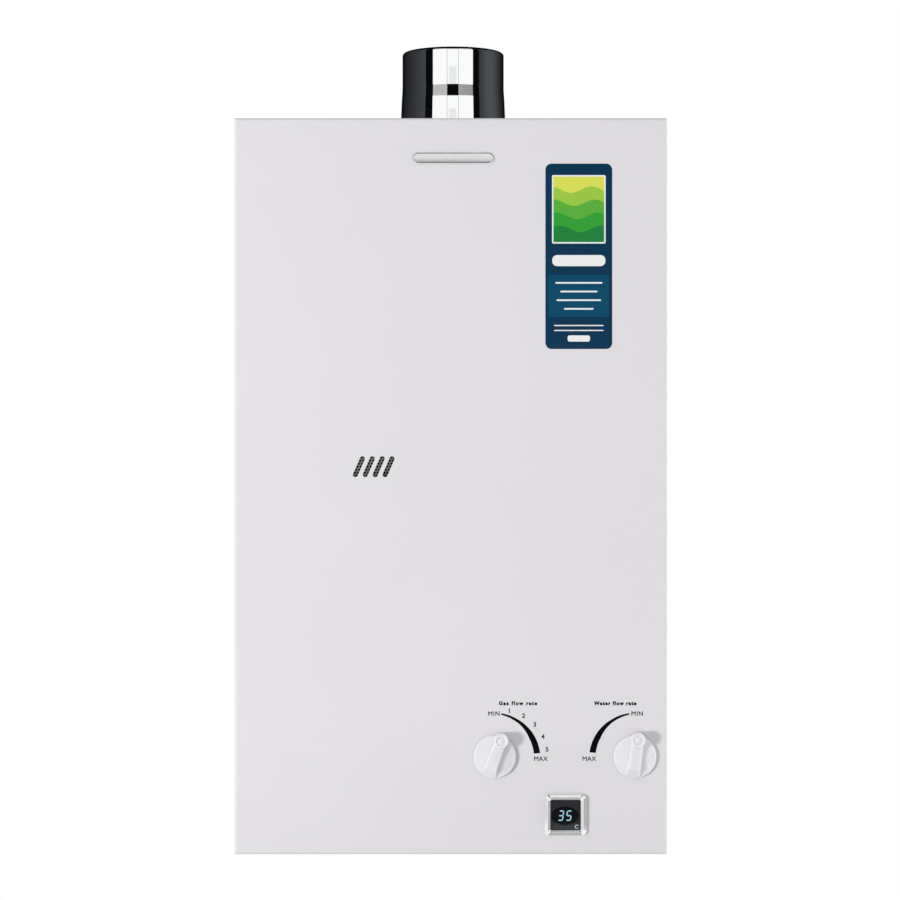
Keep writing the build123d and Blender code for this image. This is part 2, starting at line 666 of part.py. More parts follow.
# Flue screws: four through the flange, the gasket and the top plate
with BuildPart() as flue_screws:
    with BuildSketch(Plane.XY.offset(FLANGE_TOP_Z)):
        with Locations((FLUE_X, -FLUE_DEPTH)):
            with PolarLocations(FLUE_SCREW_CIRCLE_R, FLUE_SCREW_COUNT, start_angle=45):
                Circle(SCREW_R)
    extrude(amount=-SCREW_LENGTH)
    with BuildSketch(Plane.XY.offset(FLANGE_TOP_Z)):
        with Locations((FLUE_X, -FLUE_DEPTH)):
            with PolarLocations(FLUE_SCREW_CIRCLE_R, FLUE_SCREW_COUNT, start_angle=45):
                Circle(SCREW_HEAD_R)
    extrude(amount=SCREW_HEAD_H, taper=30)
flue_screws.part.label = "flue_screws"
export_step(flue_screws.part, "parts/flue_screws.step")

# Inner outline of the fan's scroll: three growing quarter turns and a straight outlet
with BuildSketch() as scroll_flow:
    with BuildLine():
        Line((OUTLET_RIGHT, TOP_PLATE_UNDER), (OUTLET_RIGHT, SCROLL_Z + SCROLL_STEP))
        CenterArc((SCROLL_X2, SCROLL_Z + SCROLL_STEP), SCROLL_R3, 0, -90)
        CenterArc((SCROLL_X2, SCROLL_Z), SCROLL_R2, 270, -90)
        CenterArc((SCROLL_X1, SCROLL_Z), SCROLL_R, 180, -90)
        Polyline(
            (SCROLL_X1, SCROLL_Z + SCROLL_R),
            (OUTLET_LEFT, SCROLL_Z + SCROLL_R),
            (OUTLET_LEFT, TOP_PLATE_UNDER),
            (OUTLET_RIGHT, TOP_PLATE_UNDER),
        )
    make_face()

# Outer outline of the scroll, cut level with the top plate
with BuildSketch() as scroll_skin:
    offset(scroll_flow.sketch, amount=FAN_SHEET, kind=Kind.INTERSECTION)
    with Locations((FLUE_X, TOP_PLATE_UNDER)):
        Rectangle(2 * OUTLET_W, 2 * FAN_SHEET, align=(Align.CENTER, Align.MIN), mode=Mode.SUBTRACT)

# Fan housing: scroll wall and rear plate with the inlet
with BuildPart() as fan_housing:
    with BuildSketch(wall_plane(SCROLL_REAR)):
        add(scroll_skin.sketch)
    extrude(amount=SCROLL_D - FAN_SHEET)
    with BuildSketch(wall_plane(SCROLL_REAR + FAN_SHEET)):
        add(scroll_flow.sketch)
    extrude(amount=SCROLL_D, mode=Mode.SUBTRACT)
    with BuildSketch(wall_plane(SCROLL_REAR)):
        with Locations((FAN_X, FAN_Z)):
            Circle(FAN_INLET_R)
    extrude(amount=FAN_SHEET, mode=Mode.SUBTRACT)
fan_housing.part.label = "fan_housing"
export_step(fan_housing.part, "parts/fan_housing.step")

# Fan front plate: closes the scroll and carries the motor
with BuildPart() as fan_front_plate:
    with BuildSketch(wall_plane(SCROLL_FRONT - FAN_SHEET)):
        add(scroll_skin.sketch)
        with Locations((FAN_X, FAN_Z)):
            Circle(HUB_R, mode=Mode.SUBTRACT)
    extrude(amount=FAN_SHEET)
fan_front_plate.part.label = "fan_front_plate"
export_step(fan_front_plate.part, "parts/fan_front_plate.step")

# Fan motor
with BuildPart() as fan_motor:
    with BuildSketch(wall_plane(SCROLL_FRONT)):
        with Locations((FAN_X, FAN_Z)):
            Circle(MOTOR_FLANGE_R)
    extrude(amount=MOTOR_FLANGE_T)
    with BuildSketch(wall_plane(SCROLL_FRONT)):
        with Locations((FAN_X, FAN_Z)):
            Circle(MOTOR_R)
    extrude(amount=MOTOR_D)
    fillet(fan_motor.faces().sort_by(Axis.Y)[0].edges(), VALVE_EDGE_R)
    with BuildSketch(wall_plane(SCROLL_FRONT)):
        with Locations((FAN_X, FAN_Z)):
            Circle(SHAFT_R + RUNNING_FIT)
    extrude(amount=MOTOR_D, mode=Mode.SUBTRACT)
fan_motor.part.label = "fan_motor"
export_step(fan_motor.part, "parts/fan_motor.step")

# Fan shaft
with BuildPart() as fan_shaft:
    with BuildSketch(wall_plane(IMPELLER_FRONT - HUB_D)):
        with Locations((FAN_X, FAN_Z)):
            Circle(SHAFT_R)
    extrude(amount=MOTOR_FRONT + SHAFT_STUB - IMPELLER_FRONT + HUB_D)
fan_shaft.part.label = "fan_shaft"
export_step(fan_shaft.part, "parts/fan_shaft.step")

# Fan impeller: back disc, hub, swept blades and an inlet ring
with BuildPart() as fan_impeller:
    with BuildSketch(wall_plane(IMPELLER_FRONT)):
        with Locations((FAN_X, FAN_Z)):
            Circle(IMPELLER_R)
    extrude(amount=-IMPELLER_SHEET)
    with BuildSketch(wall_plane(IMPELLER_FRONT)):
        with Locations((FAN_X, FAN_Z)):
            Circle(HUB_R)
    extrude(amount=-HUB_D)
    with BuildSketch(wall_plane(IMPELLER_FRONT)):
        with Locations((FAN_X, FAN_Z)):
            with PolarLocations(IMPELLER_R - BLADE_LENGTH / 2, BLADE_COUNT):
                Rectangle(BLADE_LENGTH, BLADE_T, rotation=BLADE_SWEEP)
    extrude(amount=-IMPELLER_D)
    with BuildSketch(wall_plane(IMPELLER_REAR)):
        with Locations((FAN_X, FAN_Z)):
            Circle(IMPELLER_R)
            Circle(IMPELLER_R - BLADE_LENGTH, mode=Mode.SUBTRACT)
    extrude(amount=IMPELLER_SHEET)
    with BuildSketch(wall_plane(IMPELLER_FRONT)):
        with Locations((FAN_X, FAN_Z)):
            Circle(SHAFT_R + RUNNING_FIT)
    extrude(amount=-IMPELLER_D, mode=Mode.SUBTRACT)
fan_impeller.part.label = "fan_impeller"
export_step(fan_impeller.part, "parts/fan_impeller.step")

# Exhaust hood: collects the fumes above the exchanger and leads them up behind the fan
plenum_y = -(CORE_REAR + SCROLL_REAR) / 2
plenum_d = SCROLL_REAR - CORE_REAR
plenum_w = 2 * (FAN_INLET_R + PLENUM_SIDE)
plenum_h = FAN_Z + FAN_INLET_R + PLENUM_RISE - HOOD_TOP
with BuildPart() as exhaust_hood:
    with BuildSketch(Plane.XY.offset(CORE_TOP)):
        with Locations((0, CORE_Y)):
            Rectangle(CORE_W, CORE_D)
    extrude(amount=HOOD_H)
    with BuildSketch(Plane.XY.offset(HOOD_TOP)):
        with Locations((FAN_X, plenum_y)):
            Rectangle(plenum_w, plenum_d)
    extrude(amount=plenum_h)
    with BuildSketch(Plane.XY.offset(CORE_TOP)):
        with Locations((0, CORE_Y)):
            Rectangle(CORE_W - 2 * FAN_SHEET, CORE_D - 2 * FAN_SHEET)
    extrude(amount=HOOD_H - FAN_SHEET, mode=Mode.SUBTRACT)
    with BuildSketch(Plane.XY.offset(CORE_TOP)):
        with Locations((FAN_X, plenum_y)):
            Rectangle(plenum_w - 2 * FAN_SHEET, plenum_d - 2 * FAN_SHEET)
    extrude(amount=HOOD_H + plenum_h - FAN_SHEET, mode=Mode.SUBTRACT)
    with BuildSketch(wall_plane(SCROLL_REAR)):
        with Locations((FAN_X, FAN_Z)):
            Circle(FAN_INLET_R)
    extrude(amount=-FAN_SHEET, mode=Mode.SUBTRACT)
exhaust_hood.part.label = "exhaust_hood"
export_step(exhaust_hood.part, "parts/exhaust_hood.step")

# Heat exchanger: brazed copper frame, fins and tubes
with BuildPart() as heat_exchanger:
    with BuildSketch(Plane.XY.offset(CORE_BOTTOM)):
        with Locations((0, CORE_Y)):
            Rectangle(CORE_W, CORE_D)
            Rectangle(CORE_W - 2 * CORE_SHEET, CORE_D - 2 * CORE_SHEET, mode=Mode.SUBTRACT)
    extrude(amount=CORE_H)
    with BuildSketch(Plane.XY.offset(CORE_MID_Z)):
        with Locations((0, CORE_Y)):
            with GridLocations(FIN_PITCH, 0, FIN_COUNT, 1):
                Rectangle(FIN_T, CORE_D - CORE_SHEET)
    extrude(amount=FIN_H / 2, both=True)
    with BuildSketch(Plane.YZ):
        with Locations(*[(y, CORE_MID_Z) for y in TUBE_YS]):
            Circle(TUBE_R)
    extrude(amount=TUBE_HALF, both=True)
    with BuildSketch(Plane.YZ):
        with Locations(*[(y, CORE_MID_Z) for y in TUBE_YS]):
            Circle(TUBE_R - TUBE_WALL)
    extrude(amount=TUBE_HALF, both=True, mode=Mode.SUBTRACT)
heat_exchanger.part.label = "heat_exchanger"
export_step(heat_exchanger.part, "parts/heat_exchanger.step")

# Return bends: join the tubes into one path, from the front right to the rear left
with BuildPart() as return_bends:
    for index in range(TUBE_COUNT - 1):
        side = -1 if index % 2 == 0 else 1
        middle_y = (TUBE_YS[index] + TUBE_YS[index + 1]) / 2
        with BuildSketch(Plane.YZ.offset(side * TUBE_HALF)):
            with Locations((TUBE_YS[index], CORE_MID_Z)):
                Circle(TUBE_R)
                Circle(TUBE_R - TUBE_WALL, mode=Mode.SUBTRACT)
        bend_axis = Axis((side * TUBE_HALF, middle_y, CORE_MID_Z), (0, 0, side))
        revolve(axis=bend_axis, revolution_arc=180)
return_bends.part.label = "return_bends"
export_step(return_bends.part, "parts/return_bends.step")

# Combustion chamber: copper jacket between the burner and the exchanger
with BuildPart() as combustion_chamber:
    with BuildSketch(Plane.XY.offset(CHAMBER_BOTTOM)):
        with Locations((0, CORE_Y)):
            Rectangle(CORE_W, CORE_D)
            Rectangle(CORE_W - 2 * FRAME_SHEET, CORE_D - 2 * FRAME_SHEET, mode=Mode.SUBTRACT)
    extrude(amount=CHAMBER_H)
    with BuildSketch(wall_plane(CORE_FRONT)):
        with Locations(*[(x, ELECTRODE_Z) for x in ELECTRODE_XS]):
            Circle(ELECTRODE_R + ELECTRODE_FIT)
    extrude(amount=-FRAME_SHEET, mode=Mode.SUBTRACT)
combustion_chamber.part.label = "combustion_chamber"
export_step(combustion_chamber.part, "parts/combustion_chamber.step")

# Support brackets: channels that carry the exchanger and the burner on the tray
with BuildPart() as support_brackets:
    channel_y = -(CORE_REAR + TRAY_SHEET) / 2
    channel_d = CORE_REAR - TRAY_SHEET
    for height in (CORE_MID_Z, BURNER_BOTTOM + BURNER_H / 2):
        with BuildSketch(Plane.YZ):
            with Locations((channel_y, height)):
                Rectangle(channel_d, BRACKET_H)
            with Locations((channel_y, height - BRACKET_SHEET)):
                Rectangle(channel_d - 2 * BRACKET_SHEET, BRACKET_H, mode=Mode.SUBTRACT)
        extrude(amount=BRACKET_L / 2, both=True)
support_brackets.part.label = "support_brackets"
export_step(support_brackets.part, "parts/support_brackets.step")

# Burner frame: tray that holds the burner bars and, on two cheeks, the manifold
with BuildPart() as burner_frame:
    with BuildSketch(Plane.XY.offset(BURNER_BOTTOM)):
        with Locations((0, CORE_Y)):
            Rectangle(CORE_W, CORE_D)
            Rectangle(CORE_W - 2 * FRAME_SHEET, CORE_D - 2 * FRAME_SHEET, mode=Mode.SUBTRACT)
    extrude(amount=BURNER_H)
    with BuildSketch(Plane.XY.offset(BURNER_BOTTOM)):
        with Locations((0, CORE_Y)):
            Rectangle(CORE_W, CORE_D)
            Rectangle(CORE_W - 2 * FRAME_SHEET, CORE_D - 2 * LEDGE_W, mode=Mode.SUBTRACT)
    extrude(amount=FRAME_SHEET)
    with BuildSketch(wall_plane(CORE_FRONT)):
        with Locations((0, VENTURI_Z)):
            with GridLocations(CORE_W - FRAME_SHEET, 0, 2, 1):
                Rectangle(FRAME_SHEET, CHEEK_H)
    extrude(amount=MANIFOLD_GAP + MANIFOLD_SIZE)
    with BuildSketch(wall_plane(CORE_FRONT)):
        with Locations((0, VENTURI_Z)):
            with GridLocations(BAR_PITCH, 0, BAR_COUNT, 1):
                Circle(NOZZLE_HOLE_R)
    extrude(amount=-FRAME_SHEET, mode=Mode.SUBTRACT)
burner_frame.part.label = "burner_frame"
export_step(burner_frame.part, "parts/burner_frame.step")

# Burner bars: flame slots on top, a venturi inlet at the front of each
with BuildPart() as burner_bars:
    with BuildSketch(Plane.XY.offset(BAR_BOTTOM)):
        with Locations((0, CORE_Y)):
            with GridLocations(BAR_PITCH, 0, BAR_COUNT, 1):
                Rectangle(BAR_W, BAR_D)
    extrude(amount=BAR_H)
    with BuildSketch(Plane.XY.offset(BAR_BOTTOM + BAR_SHEET)):
        with Locations((0, CORE_Y)):
            with GridLocations(BAR_PITCH, 0, BAR_COUNT, 1):
                Rectangle(BAR_W - 2 * BAR_SHEET, BAR_D - 2 * BAR_SHEET)
    extrude(amount=BAR_H - 2 * BAR_SHEET, mode=Mode.SUBTRACT)
    with BuildSketch(Plane.XY.offset(BAR_BOTTOM + BAR_H)):
        with Locations((0, CORE_Y)):
            with GridLocations(BAR_PITCH, FLAME_SLOT_PITCH, BAR_COUNT, FLAME_SLOT_COUNT):
                Rectangle(FLAME_SLOT_L, FLAME_SLOT_W)
    extrude(amount=-2 * BAR_SHEET, mode=Mode.SUBTRACT)
    with BuildSketch(wall_plane(CORE_FRONT)):
        with Locations((0, VENTURI_Z)):
            with GridLocations(BAR_PITCH, 0, BAR_COUNT, 1):
                Circle(VENTURI_R)
    extrude(amount=-FRAME_SHEET - BAR_GAP - 2 * BAR_SHEET, mode=Mode.SUBTRACT)
burner_bars.part.label = "burner_bars"
export_step(burner_bars.part, "parts/burner_bars.step")

# Gas manifold: square rail along the front of the burner, bored from end to end
with BuildPart() as gas_manifold:
    with BuildSketch(Plane.YZ):
        with Locations((-(MANIFOLD_REAR + MANIFOLD_FRONT) / 2, VENTURI_Z)):
            Rectangle(MANIFOLD_SIZE, MANIFOLD_SIZE)
            Circle(MANIFOLD_BORE_R, mode=Mode.SUBTRACT)
    extrude(amount=MANIFOLD_L / 2, both=True)
gas_manifold.part.label = "gas_manifold"
export_step(gas_manifold.part, "parts/gas_manifold.step")

# Gas nozzles: one for each burner bar, standing on the manifold
with BuildPart() as gas_nozzles:
    with BuildSketch(wall_plane(MANIFOLD_REAR)):
        with Locations((0, VENTURI_Z)):
            with GridLocations(BAR_PITCH, 0, BAR_COUNT, 1):
                Circle(NOZZLE_R)
                Circle(NOZZLE_BORE_R, mode=Mode.SUBTRACT)
    extrude(amount=-MANIFOLD_GAP - FRAME_SHEET)
gas_nozzles.part.label = "gas_nozzles"
export_step(gas_nozzles.part, "parts/gas_nozzles.step")

# Gas feed pipe: from the valve's top forward and up into the manifold
feed_bend_z = VALVE_TOP + GAS_FEED_BEND_RISE
feed_y = -(MANIFOLD_REAR + MANIFOLD_FRONT) / 2
with BuildPart() as gas_feed_pipe:
    run = pipe_run(
        [
            (GAS_X, -GAS_FEED_DEPTH, VALVE_TOP),
            (GAS_X, -GAS_FEED_DEPTH, feed_bend_z),
            (GAS_X, feed_y, feed_bend_z),
            (GAS_X, feed_y, VENTURI_Z - MANIFOLD_SIZE / 2),
        ],
        GAS_FEED_R,
        GAS_FEED_R - GAS_FEED_WALL,
        GAS_FEED_BEND_R,
    )
    add(run)
gas_feed_pipe.part.label = "gas_feed_pipe"
export_step(gas_feed_pipe.part, "parts/gas_feed_pipe.step")

# Electrode insulators: two spark electrodes and a flame sensor through the chamber's front
with BuildPart() as electrode_insulators:
    for x in ELECTRODE_XS:
        with BuildSketch(wall_plane(CORE_FRONT - ELECTRODE_INSIDE)):
            with Locations((x, ELECTRODE_Z)):
                Circle(ELECTRODE_R)
        extrude(amount=ELECTRODE_INSIDE + ELECTRODE_OUTSIDE)
        with BuildSketch(wall_plane(CORE_FRONT)):
            with Locations((x, ELECTRODE_Z)):
                Circle(ELECTRODE_COLLAR_R)
        extrude(amount=ELECTRODE_COLLAR_T)
        with BuildSketch(wall_plane(CORE_FRONT - ELECTRODE_INSIDE)):
            with Locations((x, ELECTRODE_Z)):
                Circle(ROD_R + RUNNING_FIT)
        extrude(amount=ELECTRODE_INSIDE + ELECTRODE_OUTSIDE, mode=Mode.SUBTRACT)
electrode_insulators.part.label = "electrode_insulators"
export_step(electrode_insulators.part, "parts/electrode_insulators.step")

# Electrode rods
with BuildPart() as electrode_rods:
    with BuildSketch(wall_plane(CORE_FRONT - ROD_INSIDE)):
        with Locations(*[(x, ELECTRODE_Z) for x in ELECTRODE_XS]):
            Circle(ROD_R)
    extrude(amount=ROD_INSIDE + ROD_OUTSIDE)
electrode_rods.part.label = "electrode_rods"
export_step(electrode_rods.part, "parts/electrode_rods.step")

# Gas valve body: inlet below, solenoid at the left, flow rod at the right, spindle at the front
with BuildPart() as gas_valve_body:
    with BuildSketch(Plane.XY.offset(VALVE_BOTTOM)):
        with Locations((GAS_X, VALVE_MID_Y)):
            RectangleRounded(GAS_BODY_W, VALVE_D, VALVE_EDGE_R)
    extrude(amount=VALVE_H)
    with BuildSketch(wall_plane(VALVE_FRONT)):
        with Locations((GAS_X, KNOB_Z)):
            Circle(SPINDLE_R + RUNNING_FIT)
    extrude(amount=-SPINDLE_SEAT, mode=Mode.SUBTRACT)
    with BuildSketch(side_plane(GAS_LEFT, VALVE_AXIS_DEPTH, KNOB_Z)):
        Circle(POPPET_R + POPPET_SIDE)
    extrude(amount=POPPET_ROOM, mode=Mode.SUBTRACT)
    with BuildSketch(side_plane(SEAT_X, VALVE_AXIS_DEPTH, KNOB_Z)):
        Circle(SEAT_PORT_R)
    extrude(amount=SEAT_PORT_L, mode=Mode.SUBTRACT)
    with BuildSketch(side_plane(GAS_RIGHT, VALVE_AXIS_DEPTH, KNOB_Z)):
        Circle(FLOW_ROD_R + RUNNING_FIT)
    extrude(amount=-FLOW_ROD_BORE_L, mode=Mode.SUBTRACT)
    with BuildSketch(Plane.XY.offset(VALVE_BOTTOM)):
        with Locations((GAS_X, -CONNECTION_DEPTH)):
            Circle(THREAD_BORE_R)
    extrude(amount=VALVE_H / 2, mode=Mode.SUBTRACT)
    with BuildSketch(Plane.XY.offset(VALVE_TOP)):
        with Locations((GAS_X, -GAS_FEED_DEPTH)):
            Circle(GAS_FEED_R - GAS_FEED_WALL)
    extrude(amount=-VALVE_H / 4, mode=Mode.SUBTRACT)
gas_valve_body.part.label = "gas_valve_body"
export_step(gas_valve_body.part, "parts/gas_valve_body.step")

# Gas solenoid: coil can on the valve's left face, bored for the plunger
with BuildPart() as gas_solenoid:
    with BuildSketch(side_plane(GAS_LEFT, VALVE_AXIS_DEPTH, KNOB_Z)):
        Circle(PLUNGER_R + SOLENOID_WALL)
    extrude(amount=-SOLENOID_L)
    with BuildSketch(side_plane(GAS_LEFT, VALVE_AXIS_DEPTH, KNOB_Z)):
        Circle(PLUNGER_R + RUNNING_FIT)
    extrude(amount=-PLUNGER_INSERT - 2 * PLUNGER_TRAVEL, mode=Mode.SUBTRACT)
gas_solenoid.part.label = "gas_solenoid"
export_step(gas_solenoid.part, "parts/gas_solenoid.step")

# Gas plunger: stem in the solenoid and the poppet in front of its seat
with BuildPart() as gas_plunger:
    with BuildSketch(side_plane(GAS_LEFT - PLUNGER_INSERT, VALVE_AXIS_DEPTH, KNOB_Z)):
        Circle(PLUNGER_R)
    extrude(amount=PLUNGER_INSERT + POPPET_X - GAS_LEFT)
    with BuildSketch(side_plane(POPPET_X, VALVE_AXIS_DEPTH, KNOB_Z)):
        Circle(POPPET_R)
    extrude(amount=-POPPET_T)
gas_plunger.part.label = "gas_plunger"
export_step(gas_plunger.part, "parts/gas_plunger.step")


def knob_plane(x, depth, pointer):
    """A plane facing the room on a knob's axis, with its Y along the knob's pointer."""
    turn = math.radians(pointer)
    return Plane(origin=(x, -depth, KNOB_Z), x_dir=(math.cos(turn), 0, -math.sin(turn)), z_dir=(0, -1, 0))


def make_knob(x, pointer):
    """A knob: thin crowned disc, low grip bar across it, and a round pointer lobe past its rim."""
    back = knob_plane(x, KNOB_BACK, pointer)
    with BuildPart() as knob:
        with BuildSketch(back):
            Circle(KNOB_R)
        extrude(amount=KNOB_RIM_H)
        with BuildSketch(back.offset(KNOB_RIM_H)):
            Circle(KNOB_R)
        with BuildSketch(back.offset(KNOB_RIM_H + KNOB_CROWN_H)):
            Circle(KNOB_CROWN_R)
        loft()
        with BuildSketch(back):
            with Locations((0, KNOB_LOBE_OUT)):
                Circle(KNOB_LOBE_R)
        extrude(amount=KNOB_LOBE_H)
        with BuildSketch(back.offset(KNOB_RIM_H)):
            with Locations((0, (KNOB_LOBE_OUT - KNOB_GRIP_END) / 2)):
                Rectangle(KNOB_GRIP_W, KNOB_LOBE_OUT + KNOB_GRIP_END)
        with BuildSketch(back.offset(KNOB_GRIP_H)):
            with Locations((0, (KNOB_LOBE_OUT - KNOB_GRIP_END + KNOB_GRIP_SLOPE) / 2)):
                Rectangle(KNOB_GRIP_TOP_W, KNOB_LOBE_OUT + KNOB_GRIP_END - KNOB_GRIP_SLOPE)
        loft()
        with BuildSketch(back.offset(KNOB_LOBE_H)):
            with Locations((0, KNOB_LOBE_OUT)):
                Circle(KNOB_DIMPLE_R)
        extrude(amount=-KNOB_DIMPLE_D, mode=Mode.SUBTRACT)
        with BuildSketch(back):
            Circle(SPINDLE_R + SOCKET_FIT)
            with Locations((0, SPINDLE_FLAT + SOCKET_FIT)):
                Rectangle(2 * KNOB_R, KNOB_R, align=(Align.CENTER, Align.MIN), mode=Mode.SUBTRACT)
        extrude(amount=KNOB_SOCKET_D, mode=Mode.SUBTRACT)
    return knob.part


def make_spindle(x, pointer):
    """A valve spindle, flatted where it sits in the knob's socket."""
    with BuildPart() as spindle:
        with BuildSketch(knob_plane(x, VALVE_FRONT - SPINDLE_SEAT + KNOB_GAP, pointer)):
            Circle(SPINDLE_R)
        extrude(amount=KNOB_BACK - VALVE_FRONT + SPINDLE_SEAT - KNOB_GAP)
        with BuildSketch(knob_plane(x, KNOB_BACK, pointer)):
            Circle(SPINDLE_R)
            with Locations((0, SPINDLE_FLAT)):
                Rectangle(2 * KNOB_R, KNOB_R, align=(Align.CENTER, Align.MIN), mode=Mode.SUBTRACT)
        extrude(amount=KNOB_SOCKET_D - SOCKET_FIT)
    return spindle.part


# Knobs and their spindles
with BuildPart() as gas_knob:
    add(make_knob(GAS_X, GAS_POINTER))
gas_knob.part.label = "gas_knob"
export_step(gas_knob.part, "parts/gas_knob.step")

with BuildPart() as gas_spindle:
    add(make_spindle(GAS_X, GAS_POINTER))
gas_spindle.part.label = "gas_spindle"
export_step(gas_spindle.part, "parts/gas_spindle.step")

with BuildPart() as water_knob:
    add(make_knob(WATER_X, WATER_POINTER))
water_knob.part.label = "water_knob"
export_step(water_knob.part, "parts/water_knob.step")

with BuildPart() as water_spindle:
    add(make_spindle(WATER_X, WATER_POINTER))
water_spindle.part.label = "water_spindle"
export_step(water_spindle.part, "parts/water_spindle.step")

# Water valve body: inlet and drain below, pipe above, diaphragm room at the left, spindle at the front
with BuildPart() as water_valve_body:
    with BuildSketch(Plane.XY.offset(VALVE_BOTTOM)):
        with Locations((WATER_X, VALVE_MID_Y)):
            RectangleRounded(WATER_BODY_W, VALVE_D, VALVE_EDGE_R)
    extrude(amount=VALVE_H)
    with BuildSketch(side_plane(DIAPHRAGM_FACE, VALVE_AXIS_DEPTH, KNOB_Z)):
        Circle(DIAPHRAGM_FLANGE_R)
    extrude(amount=DIAPHRAGM_FLANGE_T)
    with BuildSketch(side_plane(DIAPHRAGM_FACE, VALVE_AXIS_DEPTH, KNOB_Z)):
        Circle(DIAPHRAGM_ROOM_R)
    extrude(amount=DIAPHRAGM_ROOM_D, mode=Mode.SUBTRACT)
    with BuildSketch(wall_plane(VALVE_FRONT)):
        with Locations((WATER_X, KNOB_Z)):
            Circle(SPINDLE_R + RUNNING_FIT)
    extrude(amount=-SPINDLE_SEAT, mode=Mode.SUBTRACT)
    with BuildSketch(Plane.XY.offset(VALVE_BOTTOM)):
        with Locations((WATER_X, -CONNECTION_DEPTH)):
            Circle(THREAD_BORE_R)
    extrude(amount=VALVE_H / 2, mode=Mode.SUBTRACT)
    with BuildSketch(Plane.XY.offset(VALVE_TOP)):
        with Locations((WATER_X, -WATER_OUTLET_DEPTH)):
            Circle(TUBE_R - TUBE_WALL)
    extrude(amount=-VALVE_H / 4, mode=Mode.SUBTRACT)
water_valve_body.part.label = "water_valve_body"
export_step(water_valve_body.part, "parts/water_valve_body.step")

# Diaphragm cover: cap on the water valve's side flange, with a guide neck for the flow rod
with BuildPart() as diaphragm_cover:
    with BuildSketch(side_plane(COVER_CAP_X, VALVE_AXIS_DEPTH, KNOB_Z)):
        Circle(DIAPHRAGM_FLANGE_R)
    extrude(amount=COVER_CAP_T)
    with BuildSketch(side_plane(COVER_CAP_X, VALVE_AXIS_DEPTH, KNOB_Z)):
        Circle(COVER_NECK_R)
    extrude(amount=-COVER_NECK_L)
    with BuildSketch(side_plane(DIAPHRAGM_FACE, VALVE_AXIS_DEPTH, KNOB_Z)):
        Circle(DIAPHRAGM_ROOM_R)
    extrude(amount=-COVER_ROOM_D, mode=Mode.SUBTRACT)
    with BuildSketch(side_plane(DIAPHRAGM_FACE, VALVE_AXIS_DEPTH, KNOB_Z)):
        Circle(FLOW_ROD_R + RUNNING_FIT)
    extrude(amount=-COVER_CAP_T - COVER_NECK_L, mode=Mode.SUBTRACT)
diaphragm_cover.part.label = "diaphragm_cover"
export_step(diaphragm_cover.part, "parts/diaphragm_cover.step")

# Diaphragm: rubber disc on the flow rod's plate
diaphragm_x = DIAPHRAGM_FACE + DIAPHRAGM_SET
with BuildPart() as diaphragm:
    with BuildSketch(side_plane(diaphragm_x, VALVE_AXIS_DEPTH, KNOB_Z)):
        Circle(DIAPHRAGM_R)
        Circle(FLOW_ROD_R + RUNNING_FIT, mode=Mode.SUBTRACT)
    extrude(amount=DIAPHRAGM_T)
diaphragm.part.label = "diaphragm"
export_step(diaphragm.part, "parts/diaphragm.step")

# Flow rod: runs from the diaphragm's plate into the gas valve, with a collar for the switch lever
flow_rod_x = GAS_RIGHT - FLOW_ROD_INSERT
plate_x = diaphragm_x + DIAPHRAGM_T
with BuildPart() as flow_rod:
    with BuildSketch(side_plane(flow_rod_x, VALVE_AXIS_DEPTH, KNOB_Z)):
        Circle(FLOW_ROD_R)
    extrude(amount=plate_x - flow_rod_x)
    with BuildSketch(side_plane(plate_x, VALVE_AXIS_DEPTH, KNOB_Z)):
        Circle(DIAPHRAGM_R - FLOW_PLATE_CUT)
    extrude(amount=FLOW_PLATE_T)
    with BuildSketch(side_plane(FLOW_COLLAR_X, VALVE_AXIS_DEPTH, KNOB_Z)):
        Circle(FLOW_COLLAR_R)
    extrude(amount=FLOW_COLLAR_T)
flow_rod.part.label = "flow_rod"
export_step(flow_rod.part, "parts/flow_rod.step")

# Return spring: coil on the flow rod between the gas valve and the collar
spring_x = GAS_RIGHT + SPRING_GAP + SPRING_WIRE_R
spring_length = FLOW_COLLAR_X - SPRING_GAP - SPRING_WIRE_R - spring_x
with BuildPart() as return_spring:
    with BuildLine() as spring_line:
        Helix(
            pitch=spring_length / SPRING_TURNS,
            height=spring_length,
            radius=FLOW_ROD_R + SPRING_CLEARANCE + SPRING_WIRE_R,
            center=(spring_x, -VALVE_AXIS_DEPTH, KNOB_Z),
            direction=(1, 0, 0),
        )
    with BuildSketch(Plane(origin=spring_line.line @ 0, z_dir=spring_line.line % 0)):
        Circle(SPRING_WIRE_R)
    sweep(path=spring_line.line, is_frenet=True)
return_spring.part.label = "return_spring"
export_step(return_spring.part, "parts/return_spring.step")

# Microswitch: body on the gas valve's right face, with two ears for its lever
with BuildPart() as microswitch:
    with BuildSketch(side_plane(GAS_RIGHT, VALVE_AXIS_DEPTH, KNOB_Z)):
        with Locations((0, SWITCH_RISE + SWITCH_H / 2)):
            Rectangle(SWITCH_D, SWITCH_H)
    extrude(amount=SWITCH_W)
    with BuildSketch(side_plane(GAS_RIGHT + SWITCH_W, VALVE_AXIS_DEPTH, KNOB_Z)):
        with Locations((0, PIVOT_RISE)):
            with GridLocations(SWITCH_D - SWITCH_EAR_T, 0, 2, 1):
                Rectangle(SWITCH_EAR_T, SWITCH_EAR_H)
    extrude(amount=SWITCH_EAR_L)
    with BuildSketch(wall_plane(VALVE_AXIS_DEPTH)):
        with Locations((PIVOT_X, PIVOT_Z)):
            Circle(PIVOT_R + PIVOT_FIT)
    extrude(amount=SWITCH_D, both=True, mode=Mode.SUBTRACT)
microswitch.part.label = "microswitch"
export_step(microswitch.part, "parts/microswitch.step")

